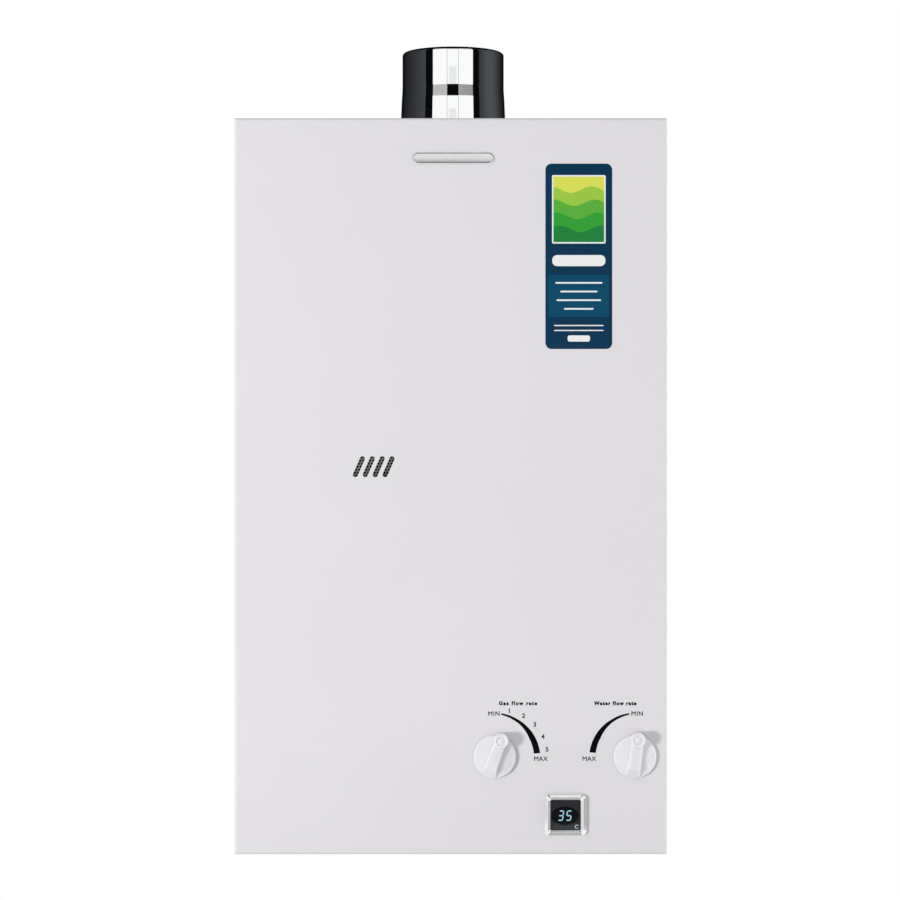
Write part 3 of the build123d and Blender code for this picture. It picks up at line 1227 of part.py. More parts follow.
# Switch lever: blade hanging from two trunnions, in front of the flow rod's collar
with BuildPart() as switch_lever:
    with BuildSketch(wall_plane(VALVE_AXIS_DEPTH)):
        with Locations((PIVOT_X, PIVOT_Z)):
            Circle(PIVOT_R)
    extrude(amount=SWITCH_D / 2 - PIVOT_FIT, both=True)
    with BuildSketch(wall_plane(VALVE_AXIS_DEPTH)):
        with Locations((PIVOT_X, (PIVOT_Z + KNOB_Z + LEVER_LOW) / 2)):
            Rectangle(LEVER_T, PIVOT_RISE - LEVER_LOW)
    extrude(amount=LEVER_W / 2, both=True)
switch_lever.part.label = "switch_lever"
export_step(switch_lever.part, "parts/switch_lever.step")


def make_fitting(x, top_z):
    """A threaded connection through the bottom plate, with a collar that rests on the plate."""
    with BuildPart() as fitting:
        with BuildSketch(Plane.XY.offset(THREAD_END_Z)):
            with Locations((x, -CONNECTION_DEPTH)):
                Circle(THREAD_R)
        extrude(amount=THREAD_TOP_Z - THREAD_END_Z)
        chamfer(fitting.faces().sort_by(Axis.Z)[0].edges(), THREAD_CHAMFER)
        with BuildSketch(Plane.XY.offset(THREAD_TOP_Z)):
            with Locations((x, -CONNECTION_DEPTH)):
                Circle(NECK_R)
        extrude(amount=top_z - THREAD_TOP_Z)
        with BuildSketch(Plane.XY.offset(BOTTOM_PLATE_TOP)):
            with Locations((x, -CONNECTION_DEPTH)):
                Circle(FITTING_COLLAR_R)
        extrude(amount=FITTING_COLLAR_T)
        with BuildSketch(Plane.XY.offset(THREAD_END_Z)):
            with Locations((x, -CONNECTION_DEPTH)):
                Circle(THREAD_BORE_R)
        extrude(amount=top_z - THREAD_END_Z, mode=Mode.SUBTRACT)
    return fitting.part


# Pipe connections: gas, cold water in, hot water out
with BuildPart() as gas_inlet:
    add(make_fitting(GAS_X, VALVE_BOTTOM))
gas_inlet.part.label = "gas_inlet"
export_step(gas_inlet.part, "parts/gas_inlet.step")

with BuildPart() as cold_water_inlet:
    add(make_fitting(WATER_X, VALVE_BOTTOM))
cold_water_inlet.part.label = "cold_water_inlet"
export_step(cold_water_inlet.part, "parts/cold_water_inlet.step")

hot_outlet_top = BOTTOM_PLATE_TOP + 3 * FITTING_COLLAR_T
with BuildPart() as hot_water_outlet:
    add(make_fitting(HOT_X, hot_outlet_top))
hot_water_outlet.part.label = "hot_water_outlet"
export_step(hot_water_outlet.part, "parts/hot_water_outlet.step")

# Nuts that clamp the three connections to the bottom plate
with BuildPart() as connection_nuts:
    with BuildSketch(Plane.XY.offset(BOTTOM_PLATE_Z)):
        with Locations(*[(x, -CONNECTION_DEPTH) for x in (GAS_X, WATER_X, HOT_X)]):
            RegularPolygon(NUT_FLATS / 2, 6, major_radius=False)
            Circle(THREAD_R + NUT_FIT, mode=Mode.SUBTRACT)
    extrude(amount=-NUT_T)
connection_nuts.part.label = "connection_nuts"
export_step(connection_nuts.part, "parts/connection_nuts.step")

# Drain plug: fluted head under the bottom plate, stem up to the water valve
with BuildPart() as drain_plug:
    with BuildSketch(Plane.XY.offset(VALVE_BOTTOM)):
        with Locations((WATER_X, -DRAIN_DEPTH)):
            Circle(DRAIN_R)
    extrude(amount=BOTTOM_PLATE_Z - DRAIN_HEAD_GAP - VALVE_BOTTOM)
    with BuildSketch(Plane.XY.offset(BOTTOM_PLATE_Z - DRAIN_HEAD_GAP)):
        with Locations((WATER_X, -DRAIN_DEPTH)):
            Circle(DRAIN_HEAD_R)
            with PolarLocations(DRAIN_HEAD_R, DRAIN_FLUTES):
                Circle(DRAIN_FLUTE_R, mode=Mode.SUBTRACT)
    extrude(amount=-DRAIN_HEAD_H)
drain_plug.part.label = "drain_plug"
export_step(drain_plug.part, "parts/drain_plug.step")

# Cold water pipe: up from the valve, once round the chamber, then into the exchanger's front tube
wrap_low = CHAMBER_BOTTOM + WRAP_RISE
wrap_high = wrap_low + WRAP_CLIMB
wrap_left = HOT_RISER_X + 2 * TUBE_R + PIPE_APART
wrap_front = -(CORE_FRONT + TUBE_R + WRAP_GAP)
wrap_back = -(CORE_REAR - TUBE_R - WRAP_GAP)
with BuildPart() as cold_water_pipe:
    run = pipe_run(
        [
            (WATER_X, -WATER_OUTLET_DEPTH, VALVE_TOP),
            (WATER_X, -WATER_OUTLET_DEPTH, wrap_low),
            (WATER_X, wrap_front, wrap_low),
            (wrap_left, wrap_front, wrap_low),
            (wrap_left, wrap_back, wrap_high),
            (WATER_X, wrap_back, wrap_high),
            (WATER_X, TUBE_YS[0], wrap_high),
            (WATER_X, TUBE_YS[0], CORE_MID_Z),
            (TUBE_HALF, TUBE_YS[0], CORE_MID_Z),
        ],
        TUBE_R,
        TUBE_R - TUBE_WALL,
        [PIPE_BEND_R] * 6 + [PIPE_END_BEND_R],
    )
    add(run)
cold_water_pipe.part.label = "cold_water_pipe"
export_step(cold_water_pipe.part, "parts/cold_water_pipe.step")

# Hot water pipe: from the exchanger's rear tube down to the outlet
hot_jog_z = hot_outlet_top + HOT_JOG_RISE
with BuildPart() as hot_water_pipe:
    run = pipe_run(
        [
            (-TUBE_HALF, TUBE_YS[-1], CORE_MID_Z),
            (HOT_RISER_X, TUBE_YS[-1], CORE_MID_Z),
            (HOT_RISER_X, TUBE_YS[-1], hot_jog_z),
            (HOT_X, -CONNECTION_DEPTH, hot_jog_z - HOT_JOG_H),
            (HOT_X, -CONNECTION_DEPTH, hot_outlet_top),
        ],
        TUBE_R,
        TUBE_R - TUBE_WALL,
        [PIPE_BEND_R, PIPE_BEND_R, PIPE_BEND_R],
    )
    add(run)
hot_water_pipe.part.label = "hot_water_pipe"
export_step(hot_water_pipe.part, "parts/hot_water_pipe.step")

# Overheat thermostat: saddle and button on the front of the hot pipe
thermostat_z = CORE_MID_Z - THERMOSTAT_DROP
thermostat_depth = -TUBE_YS[-1]
thermostat_w = 2 * (TUBE_R + THERMOSTAT_FIT + THERMOSTAT_CHEEK)
with BuildPart() as overheat_thermostat:
    with BuildSketch(Plane.XY.offset(thermostat_z)):
        with Locations((HOT_RISER_X, -thermostat_depth)):
            Rectangle(thermostat_w, TUBE_R + THERMOSTAT_T, align=(Align.CENTER, Align.MAX))
            Circle(TUBE_R + THERMOSTAT_FIT, mode=Mode.SUBTRACT)
    extrude(amount=THERMOSTAT_H / 2, both=True)
    with BuildSketch(wall_plane(thermostat_depth + TUBE_R + THERMOSTAT_T)):
        with Locations((HOT_RISER_X, thermostat_z)):
            Circle(THERMOSTAT_DISC_R)
    extrude(amount=THERMOSTAT_DISC_T)
overheat_thermostat.part.label = "overheat_thermostat"
export_step(overheat_thermostat.part, "parts/overheat_thermostat.step")

# Display bezel: rounded frame on the cover with a sleeve through it
with BuildPart() as display_bezel:
    with BuildSketch(wall_plane(CASE_D)):
        with Locations((DISPLAY_X, DISPLAY_Z)):
            RectangleRounded(BEZEL_W, BEZEL_H, BEZEL_CORNER_R)
    extrude(amount=BEZEL_T)
    fillet(display_bezel.faces().sort_by(Axis.Y)[0].edges(), BEZEL_EDGE_R)
    with BuildSketch(wall_plane(CASE_D)):
        with Locations((DISPLAY_X, DISPLAY_Z)):
            Rectangle(SLEEVE_OUTER, SLEEVE_OUTER)
            Rectangle(SLEEVE_INNER, SLEEVE_INNER, mode=Mode.SUBTRACT)
    extrude(amount=-SLEEVE_D)
    with BuildSketch(wall_plane(CASE_D)):
        with Locations((DISPLAY_X, DISPLAY_Z)):
            Rectangle(WINDOW_SIZE, WINDOW_SIZE)
    extrude(amount=BEZEL_T, mode=Mode.SUBTRACT)
display_bezel.part.label = "display_bezel"
export_step(display_bezel.part, "parts/display_bezel.step")

# Display lens: dark window behind the bezel's frame
with BuildPart() as display_lens:
    with BuildSketch(wall_plane(CASE_D)):
        with Locations((DISPLAY_X, DISPLAY_Z)):
            Rectangle(SLEEVE_INNER - 2 * LENS_FIT, SLEEVE_INNER - 2 * LENS_FIT)
    extrude(amount=-LENS_T)
display_lens.part.label = "display_lens"
export_step(display_lens.part, "parts/display_lens.step")

# Display board: circuit board on the sleeve's rear edge, with the number block
with BuildPart() as display_board:
    with BuildSketch(wall_plane(BOARD_FRONT)):
        with Locations((DISPLAY_X, DISPLAY_Z)):
            Rectangle(SLEEVE_OUTER, SLEEVE_OUTER)
    extrude(amount=-BOARD_T)
    with BuildSketch(wall_plane(BOARD_FRONT)):
        with Locations((DISPLAY_X, DISPLAY_Z)):
            Rectangle(WINDOW_SIZE - 2 * LED_SIDE, LED_H)
    extrude(amount=SLEEVE_D - LENS_T - LED_GAP)
display_board.part.label = "display_board"
export_step(display_board.part, "parts/display_board.step")

# Control box: open tray on the back tray, with four board bosses
boss_x = CIRCUIT_W - 2 * BOSS_INSET
boss_z = CIRCUIT_H - 2 * BOSS_INSET
with BuildPart() as control_box:
    with BuildSketch(wall_plane(TRAY_SHEET)):
        with Locations((BOX_X, BOX_Z)):
            Rectangle(BOX_W, BOX_H)
    extrude(amount=BOX_D)
    with BuildSketch(wall_plane(TRAY_SHEET + BOX_WALL)):
        with Locations((BOX_X, BOX_Z)):
            Rectangle(BOX_W - 2 * BOX_WALL, BOX_H - 2 * BOX_WALL)
    extrude(amount=BOX_D, mode=Mode.SUBTRACT)
    with BuildSketch(wall_plane(TRAY_SHEET + BOX_WALL)):
        with Locations((BOX_X, BOX_Z)):
            with GridLocations(boss_x, boss_z, 2, 2):
                Circle(BOSS_R)
    extrude(amount=BOSS_H)
control_box.part.label = "control_box"
export_step(control_box.part, "parts/control_box.step")

# Control board: circuit board on the bosses, with its largest parts
with BuildPart() as control_board:
    with BuildSketch(wall_plane(TRAY_SHEET + BOX_WALL + BOSS_H)):
        with Locations((BOX_X, BOX_Z)):
            Rectangle(CIRCUIT_W, CIRCUIT_H)
    extrude(amount=BOARD_T)
    for x, z, width, height, rise in CIRCUIT_PARTS:
        with BuildSketch(wall_plane(TRAY_SHEET + BOX_WALL + BOSS_H + BOARD_T)):
            with Locations((BOX_X + x, BOX_Z + z)):
                Rectangle(width, height)
        extrude(amount=rise)
control_board.part.label = "control_board"
export_step(control_board.part, "parts/control_board.step")

# Control box lid
with BuildPart() as control_box_lid:
    with BuildSketch(wall_plane(BOX_FRONT)):
        with Locations((BOX_X, BOX_Z)):
            Rectangle(BOX_W, BOX_H)
    extrude(amount=BOX_LID_T)
control_box_lid.part.label = "control_box_lid"
export_step(control_box_lid.part, "parts/control_box_lid.step")

# Ignition module: spark generator on the back tray
with BuildPart() as ignition_module:
    with BuildSketch(wall_plane(TRAY_SHEET)):
        with Locations((MODULE_X, MODULE_Z)):
            RectangleRounded(MODULE_W, MODULE_H, VALVE_EDGE_R)
    extrude(amount=MODULE_D)
ignition_module.part.label = "ignition_module"
export_step(ignition_module.part, "parts/ignition_module.step")

# Air pressure switch on the back tray, level with the fan
air_port_end = TRAY_SHEET + AIR_SWITCH_D + AIR_CAP_D + AIR_PORT_L
with BuildPart() as air_pressure_switch:
    with BuildSketch(wall_plane(TRAY_SHEET)):
        with Locations((AIR_SWITCH_X, SCROLL_Z)):
            Circle(AIR_SWITCH_R)
    extrude(amount=AIR_SWITCH_D)
    with BuildSketch(wall_plane(TRAY_SHEET + AIR_SWITCH_D)):
        with Locations((AIR_SWITCH_X, SCROLL_Z)):
            Circle(AIR_CAP_R)
    extrude(amount=AIR_CAP_D)
    with BuildSketch(wall_plane(TRAY_SHEET + AIR_SWITCH_D + AIR_CAP_D)):
        with Locations((AIR_SWITCH_X, SCROLL_Z)):
            Circle(AIR_PORT_R)
    extrude(amount=AIR_PORT_L)
air_pressure_switch.part.label = "air_pressure_switch"
export_step(air_pressure_switch.part, "parts/air_pressure_switch.step")

# Pressure tube: from the air switch to the side of the fan's scroll
with BuildPart() as pressure_tube:
    run = pipe_run(
        [
            (AIR_SWITCH_X, -air_port_end, SCROLL_Z),
            (AIR_SWITCH_X, -FLUE_DEPTH, SCROLL_Z),
            (SCROLL_X2 - SCROLL_R2 - FAN_SHEET - AIR_TUBE_GAP, -FLUE_DEPTH, SCROLL_Z),
        ],
        AIR_PORT_R,
        AIR_TUBE_BORE_R,
        AIR_TUBE_BEND_R,
    )
    add(run)
pressure_tube.part.label = "pressure_tube"
export_step(pressure_tube.part, "parts/pressure_tube.step")

# Cable gland: flanged bush through the bottom plate under the control box
with BuildPart() as cable_gland:
    with BuildSketch(Plane.XY.offset(BOTTOM_PLATE_Z)):
        with Locations((GLAND_X, -GLAND_DEPTH)):
            Circle(GLAND_R)
    extrude(amount=GLAND_ABOVE)
    with BuildSketch(Plane.XY.offset(BOTTOM_PLATE_Z)):
        with Locations((GLAND_X, -GLAND_DEPTH)):
            Circle(GLAND_FLANGE_R)
    extrude(amount=-GLAND_FLANGE_T)
    with BuildSketch(Plane.XY.offset(BOTTOM_PLATE_Z - GLAND_FLANGE_T)):
        with Locations((GLAND_X, -GLAND_DEPTH)):
            Circle(GLAND_R)
    with BuildSketch(Plane.XY.offset(BOTTOM_PLATE_Z - GLAND_BELOW)):
        with Locations((GLAND_X, -GLAND_DEPTH)):
            Circle(GLAND_TIP_R)
    loft()
    with BuildSketch(Plane.XY.offset(BOTTOM_PLATE_Z - GLAND_BELOW)):
        with Locations((GLAND_X, -GLAND_DEPTH)):
            Circle(GLAND_BORE_R)
    extrude(amount=GLAND_BELOW + GLAND_ABOVE, mode=Mode.SUBTRACT)
cable_gland.part.label = "cable_gland"
export_step(cable_gland.part, "parts/cable_gland.step")
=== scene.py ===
import json
import math

import bmesh
import bpy
from mathutils import Matrix, Vector


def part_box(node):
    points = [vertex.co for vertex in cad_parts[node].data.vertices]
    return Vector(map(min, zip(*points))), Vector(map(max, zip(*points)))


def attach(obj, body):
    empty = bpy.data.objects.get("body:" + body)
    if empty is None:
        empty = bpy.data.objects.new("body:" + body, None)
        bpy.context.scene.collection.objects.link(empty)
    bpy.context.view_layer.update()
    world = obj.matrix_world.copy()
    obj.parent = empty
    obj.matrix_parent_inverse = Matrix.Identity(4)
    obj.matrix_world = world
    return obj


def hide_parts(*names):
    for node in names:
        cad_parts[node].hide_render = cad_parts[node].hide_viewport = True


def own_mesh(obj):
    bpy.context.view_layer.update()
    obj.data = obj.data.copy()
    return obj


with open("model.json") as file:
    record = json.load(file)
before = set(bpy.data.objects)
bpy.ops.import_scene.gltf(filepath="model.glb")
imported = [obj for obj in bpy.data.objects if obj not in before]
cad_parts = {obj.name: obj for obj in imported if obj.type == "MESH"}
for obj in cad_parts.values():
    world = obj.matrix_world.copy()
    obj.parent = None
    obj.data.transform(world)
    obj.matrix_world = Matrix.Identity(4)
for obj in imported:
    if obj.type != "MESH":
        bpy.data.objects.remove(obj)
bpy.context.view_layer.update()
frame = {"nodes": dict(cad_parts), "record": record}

# Wall-hung gas water heater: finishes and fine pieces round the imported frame.
# Sizes are millimetres in the frame's axes: the wall is y = 0, the front faces -Y and +Z is up.
# A depth is a distance in front of the wall. Named angles are degrees. Colours are linear.
MM = 0.001


def node_box(node):
    """A CAD node's lowest and highest corners in millimetres."""
    low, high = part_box(node)
    return low / MM, high / MM


def node_middle(node):
    """The middle of a CAD node's box: its x, its depth and its z."""
    low, high = node_box(node)
    return (low.x + high.x) / 2, -(low.y + high.y) / 2, (low.z + high.z) / 2


cover_low, cover_high = node_box("front_cover")
FRONT_DEPTH = -cover_low.y
TOP_Z = cover_high.z


# Mesh helpers

IN_PLACE = Matrix.Identity(4)
WELD = 0.0005
SHARP = 35.0
ROUND_SHARP = 50.0


def turn_about(axis, degrees):
    """A turn about one axis."""
    return Matrix.Rotation(math.radians(degrees), 4, axis)


def front_place(x, z, depth=FRONT_DEPTH, turn=0.0):
    """From a sketch (right, up, towards the room) to a place on the front, turned clockwise."""
    base = Matrix(((1, 0, 0, x), (0, 0, -1, -depth), (0, 1, 0, z), (0, 0, 0, 1)))
    return base @ turn_about("Z", -turn)


def circle(radius, count):
    """Points round a circle."""
    angles = [2 * math.pi * index / count for index in range(count)]
    return [(radius * math.cos(a), radius * math.sin(a)) for a in angles]


def arc(middle, radius, start, end, steps):
    """Points along an arc, angles in degrees."""
    angles = [math.radians(start + (end - start) * step / steps) for step in range(steps + 1)]
    return [(middle[0] + radius * math.cos(a), middle[1] + radius * math.sin(a)) for a in angles]


def rounded_rectangle(width, height, radius, steps=6):
    """Points round a rectangle with round corners."""
    points = []
    for corner, (side, rise) in enumerate(((1, 1), (-1, 1), (-1, -1), (1, -1))):
        for step in range(steps + 1):
            angle = math.radians(90 * (corner + step / steps))
            points.append((side * (width / 2 - radius) + radius * math.cos(angle),
                           rise * (height / 2 - radius) + radius * math.sin(angle)))
    return points


def shaped_ring(radius_at, count, height):
    """A ring whose radius is a function of the share of a turn."""
    ring = []
    for index, (u, v) in enumerate(circle(1.0, count)):
        radius = radius_at(index / count)
        ring.append((radius * u, radius * v, height))
    return ring


def level(outline, height):
    """An outline at one height."""
    return [(u, v, height) for u, v in outline]


def turned(profile, count):
    """Rings of (radius, height) points turned about the third axis."""
    return [level(circle(radius, count), height) for radius, height in profile]


def between(points, share):
    """A value on the broken line through points of (share, value)."""
    for (low, first), (high, second) in zip(points, points[1:]):
        if share <= high:
            return first + (second - first) * (share - low) / (high - low)
    return points[-1][1]


def skin(bm, rings, place=IN_PLACE, closed=False, material=0):
    """Adds a shell through rings of equal length; a closed one joins its ends, any other caps them."""
    loops = [[bm.verts.new(place @ Vector(point)) for point in ring] for ring in rings]
    pairs = list(zip(loops, loops[1:])) + ([(loops[-1], loops[0])] if closed else [])
    made = []
    for lower, upper in pairs:
        for index, corner in enumerate(lower):
            after = (index + 1) % len(lower)
            made.append(bm.faces.new((corner, lower[after], upper[after], upper[index])))
    if not closed:
        made.append(bm.faces.new(list(reversed(loops[0]))))
        made.append(bm.faces.new(loops[-1]))
    for face in made:
        face.material_index = material


def plate(bm, outline, low, high, place, material=0):
    """Adds a flat plate between two heights of a sketch."""
    skin(bm, [level(outline, low), level(outline, high)], place, material=material)


def solid(rings, place=IN_PLACE, closed=False):
    """A new bmesh of one shell."""
    bm = bmesh.new()
    skin(bm, rings, place, closed)
    bmesh.ops.recalc_face_normals(bm, faces=bm.faces)
    return bm


def link_object(name, data):
    """Shows a mesh, curve, lamp or camera in the scene."""
    holder = bpy.data.objects.new(name, data)
    bpy.context.scene.collection.objects.link(holder)
    return holder


def link_mesh(name, bm):
    """Turns a bmesh into an object in the scene."""
    mesh = bpy.data.meshes.new(name)
    bm.to_mesh(mesh)
    bm.free()
    return link_object(name, mesh)


def evaluated_mesh(holder):
    """A new mesh of an object with its modifiers or its text worked out."""
    depsgraph = bpy.context.evaluated_depsgraph_get()
    return bpy.data.meshes.new_from_object(holder.evaluated_get(depsgraph))


def combine(base, tool, operation):
    """base with tool added (UNION) or taken away (DIFFERENCE), as a new bmesh."""
    holders = [link_mesh("trial_" + str(index), bm) for index, bm in enumerate((base, tool))]
    cut = holders[0].modifiers.new("cut", "BOOLEAN")
    cut.operation = operation
    cut.object = holders[1]
    cut.solver = "EXACT"
    mesh = evaluated_mesh(holders[0])
    result = bmesh.new()
    result.from_mesh(mesh)
    for used in (mesh, *(holder.data for holder in holders)):
        bpy.data.meshes.remove(used)
    return result


def piece(name, bm, *finishes, body="chassis", slot=None, replaces=(), sharp=SHARP):
    """Finishes a bmesh as a piece of the object that rides on a body."""
    bmesh.ops.remove_doubles(bm, verts=bm.verts, dist=WELD)
    bmesh.ops.recalc_face_normals(bm, faces=bm.faces)
    bmesh.ops.scale(bm, vec=(MM, MM, MM), verts=bm.verts)
    made = link_mesh(name, bm)
    made.data.polygons.foreach_set("use_smooth", [True] * len(made.data.polygons))
    made.data.set_sharp_from_angle(angle=math.radians(sharp))
    for finish in finishes:
        made.data.materials.append(FINISHES[finish])
    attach(made, body)
    if replaces:
        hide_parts(*replaces)
    return made


def stand_in(name, bm, node, slot, **choices):
    """A piece in a slot's finish that stands for a CAD node."""
    return piece(name, bm, slot, slot=slot, replaces=[node], **choices)


# Finishes: scales are features a metre, and grain is a scale and a depth

FINISHES = {}
EVEN = (1.0, 1.0, 1.0)
MIDDLE = (0.3, 0.7)
WHOLE = (0.0, 1.0)
NOISE_DETAIL = 3.0
ROUGH_SCALE = 240.0
MILKY_DEPTH = 4.0
GLOW = (0.38, 0.66, 0.84)
GLOW_SCALE = 500.0
GLOW_DIM = 0.82
LENS_PALE = (0.028, 0.031, 0.038)
LENS_DARK = (0.003, 0.004, 0.008)
LENS_ROUGH = (0.05, 0.1)
LENS_PALE_Z = -276.0
LENS_DARK_Z = -271.0
VINYL_DARK = 0.9


def start_material(name):
    """Starts a material, kept by its name, and gives its node tree and shader."""
    material = bpy.data.materials.new(name)
    material.use_nodes = True
    FINISHES[name] = material
    return material.node_tree, material.node_tree.nodes["Principled BSDF"]


def feed(tree, node, inputs):
    """Sets each input of a node to a value, or links it to an output of another node."""
    for socket, value in inputs.items():
        if isinstance(value, bpy.types.NodeSocket):
            tree.links.new(value, node.inputs[socket])
        else:
            node.inputs[socket].default_value = value


def add_node(tree, kind, inputs):
    """Adds a shader node and feeds it."""
    node = tree.nodes.new("ShaderNode" + kind)
    feed(tree, node, inputs)
    return node


def surface_place(tree, stretch=EVEN):
    """The place on the piece, in metres, slowed or hurried along each axis."""
    place = add_node(tree, "TexCoord", {})
    mapping = add_node(tree, "Mapping", {"Vector": place.outputs["Object"], "Scale": stretch})
    return mapping.outputs["Vector"]


def noise(tree, scale, stretch=EVEN):
    """Noise with about scale features a metre."""
    place = surface_place(tree, stretch)
    texture = add_node(tree, "TexNoise", {"Vector": place, "Scale": scale, "Detail": NOISE_DETAIL})
    return texture.outputs["Fac"]


def cells(tree, scale):
    """A random value for each crystal of a spangled sheet."""
    texture = add_node(tree, "TexVoronoi", {"Vector": surface_place(tree), "Scale": scale})
    parts = add_node(tree, "SeparateColor", {"Color": texture.outputs["Color"]})
    return parts.outputs["Red"]


def tint(tree, value, dark, light, limits=MIDDLE):
    """A colour that goes from dark to light between two limits of a value."""
    ramp = add_node(tree, "ValToRGB", {"Fac": value})
    for element, position, colour in zip(ramp.color_ramp.elements, limits, (dark, light)):
        element.position = position
        element.color = (*colour, 1.0)
    return ramp.outputs["Color"]


def spread(tree, value, low, high, limits=MIDDLE):
    """A number that goes from low to high between two limits of a value."""
    ranged = add_node(tree, "MapRange", {"Value": value, "From Min": limits[0], "From Max": limits[1],
                                         "To Min": low, "To Max": high})
    return ranged.outputs["Result"]


def relief(tree, value, depth):
    """Bump of a depth in millimetres."""
    bump = add_node(tree, "Bump", {"Height": value, "Strength": 1.0, "Distance": depth * MM})
    return bump.outputs["Normal"]


def make_finish(name, dark, light, rough, metallic=0.0, specular=0.5, tone_scale=60.0,
                rough_scale=ROUGH_SCALE, grain=(900.0, 0.01), stretch=EVEN, spangle=0.0, milky=0.0):
    """A finish whose tone, roughness and fine relief vary over the surface; a milky one lets light in."""
    tree, shader = start_material(name)
    tone = cells(tree, spangle) if spangle else noise(tree, tone_scale, stretch)
    polish = tone if spangle else noise(tree, rough_scale, stretch)
    limits = WHOLE if spangle else MIDDLE
    feed(tree, shader, {"Base Color": tint(tree, tone, dark, light, limits),
                        "Roughness": spread(tree, polish, *rough, limits),
                        "Normal": relief(tree, noise(tree, grain[0], stretch), grain[1]),
                        "Metallic": metallic, "Specular IOR Level": specular, "Subsurface Weight": milky,
                        "Subsurface Radius": EVEN, "Subsurface Scale": MILKY_DEPTH * MM})


def make_glow():
    """Lit display segments, a little uneven along their length."""
    tree, shader = start_material("digit_glow")
    lit = tint(tree, noise(tree, GLOW_SCALE), [GLOW_DIM * part for part in GLOW], GLOW)
    feed(tree, shader, {"Emission Color": lit, "Emission Strength": 1.0, "Specular IOR Level": 0.1,
                        "Base Color": (0.01, 0.01, 0.01, 1.0), "Roughness": 0.5})


def make_lens():
    """Dark tinted plastic, a little paler towards its lower edge."""
    tree, shader = start_material("lens_dark")
    parts = add_node(tree, "SeparateXYZ", {"Vector": surface_place(tree)})
    height = spread(tree, parts.outputs["Z"], *WHOLE, (LENS_PALE_Z * MM, LENS_DARK_Z * MM))
    feed(tree, shader, {"Base Color": tint(tree, height, LENS_PALE, LENS_DARK, WHOLE),
                        "Roughness": spread(tree, noise(tree, ROUGH_SCALE), *LENS_ROUGH),
                        "Specular IOR Level": 0.28})


def make_vinyl(name, colour):
    """A label colour: glossy printed vinyl with a slight print mottle."""
    dark = [VINYL_DARK * part for part in colour]
    make_finish(name, dark, colour, (0.3, 0.42), specular=0.12, tone_scale=700.0, rough_scale=300.0,
                grain=(350.0, 0.004))


make_finish("cover_paint", (0.735, 0.718, 0.742), (0.748, 0.731, 0.755), (0.36, 0.46), specular=0.35,
            tone_scale=9.0, rough_scale=60.0, grain=(1100.0, 0.012))
make_finish("galvanised", (0.44, 0.45, 0.46), (0.58, 0.59, 0.60), (0.36, 0.54), metallic=0.4,
            spangle=75.0, grain=(500.0, 0.01))
# Perforated plate: its tone goes from 0.24 to 0.52 in patches. This is partly the sheet's own mottle and
# partly painted light and shade, like uneven light falling through the slots.
make_finish("dark_mesh", (0.24, 0.24, 0.245), (0.52, 0.52, 0.525), (0.45, 0.6), metallic=0.2,
            grain=(1500.0, 0.01))
make_finish("bright_steel", (0.93, 0.94, 0.95), (0.965, 0.97, 0.975), (0.012, 0.03), metallic=1.0,
            tone_scale=30.0, rough_scale=90.0, stretch=(1.0, 1.0, 0.2), grain=(120.0, 0.0015))
make_finish("flange_steel", (0.52, 0.53, 0.54), (0.62, 0.63, 0.64), (0.3, 0.42), metallic=0.55,
            tone_scale=90.0, grain=(1500.0, 0.01))
make_finish("zinc_steel", (0.60, 0.60, 0.59), (0.72, 0.73, 0.74), (0.25, 0.4), metallic=1.0,
            tone_scale=200.0, grain=(2500.0, 0.006))
make_finish("burner_steel", (0.30, 0.27, 0.24), (0.46, 0.43, 0.40), (0.35, 0.55), metallic=0.9,
            tone_scale=45.0)
make_finish("copper", (0.52, 0.22, 0.13), (0.74, 0.38, 0.26), (0.25, 0.42), metallic=1.0)
make_finish("brass", (0.56, 0.39, 0.15), (0.70, 0.53, 0.25), (0.22, 0.36), metallic=1.0, tone_scale=120.0,
            grain=(2200.0, 0.006))
make_finish("cast_aluminium", (0.44, 0.45, 0.46), (0.56, 0.57, 0.58), (0.45, 0.65), metallic=0.8,
            grain=(1600.0, 0.05))
make_finish("motor_black", (0.015, 0.015, 0.016), (0.03, 0.03, 0.032), (0.35, 0.5))
make_finish("knob_white", (0.775, 0.762, 0.782), (0.80, 0.787, 0.807), (0.28, 0.36), specular=0.4,
            tone_scale=90.0, grain=(2600.0, 0.004), milky=0.6)
make_finish("bezel_chrome", (0.83, 0.83, 0.84), (0.87, 0.87, 0.88), (0.06, 0.1), metallic=1.0,
            tone_scale=150.0, rough_scale=400.0, grain=(700.0, 0.001))
make_finish("satin_nickel", (0.70, 0.70, 0.715), (0.80, 0.80, 0.815), (0.24, 0.34), metallic=1.0,
            tone_scale=300.0, stretch=(0.06, 1.0, 1.0), grain=(2500.0, 0.003))
make_finish("circuit_green", (0.01, 0.09, 0.035), (0.02, 0.14, 0.055), (0.3, 0.45))
make_finish("plastic_black", (0.016, 0.016, 0.017), (0.028, 0.028, 0.03), (0.42, 0.58),
            grain=(3000.0, 0.015))
make_finish("rubber_dark", (0.02, 0.02, 0.02), (0.035, 0.034, 0.033), (0.6, 0.8), grain=(1800.0, 0.02))
make_finish("ceramic_white", (0.74, 0.72, 0.67), (0.80, 0.78, 0.74), (0.15, 0.3))
make_finish("ink_black", (0.001, 0.001, 0.0015), (0.003, 0.003, 0.004), (0.5, 0.65), specular=0.04,
            grain=(4000.0, 0.002))
make_finish("display_oval", (0.0015, 0.002, 0.003), (0.004, 0.005, 0.006), (0.08, 0.14), specular=0.06)
make_finish("display_unit", (0.42, 0.52, 0.56), (0.50, 0.60, 0.64), (0.4, 0.5))
# Near-black sheet behind the sight plate: painted shade seen through its holes.
make_finish("painted_shade_black", (0.004, 0.004, 0.004), (0.008, 0.008, 0.008), (0.8, 0.95), specular=0.05)
make_lens()
make_glow()

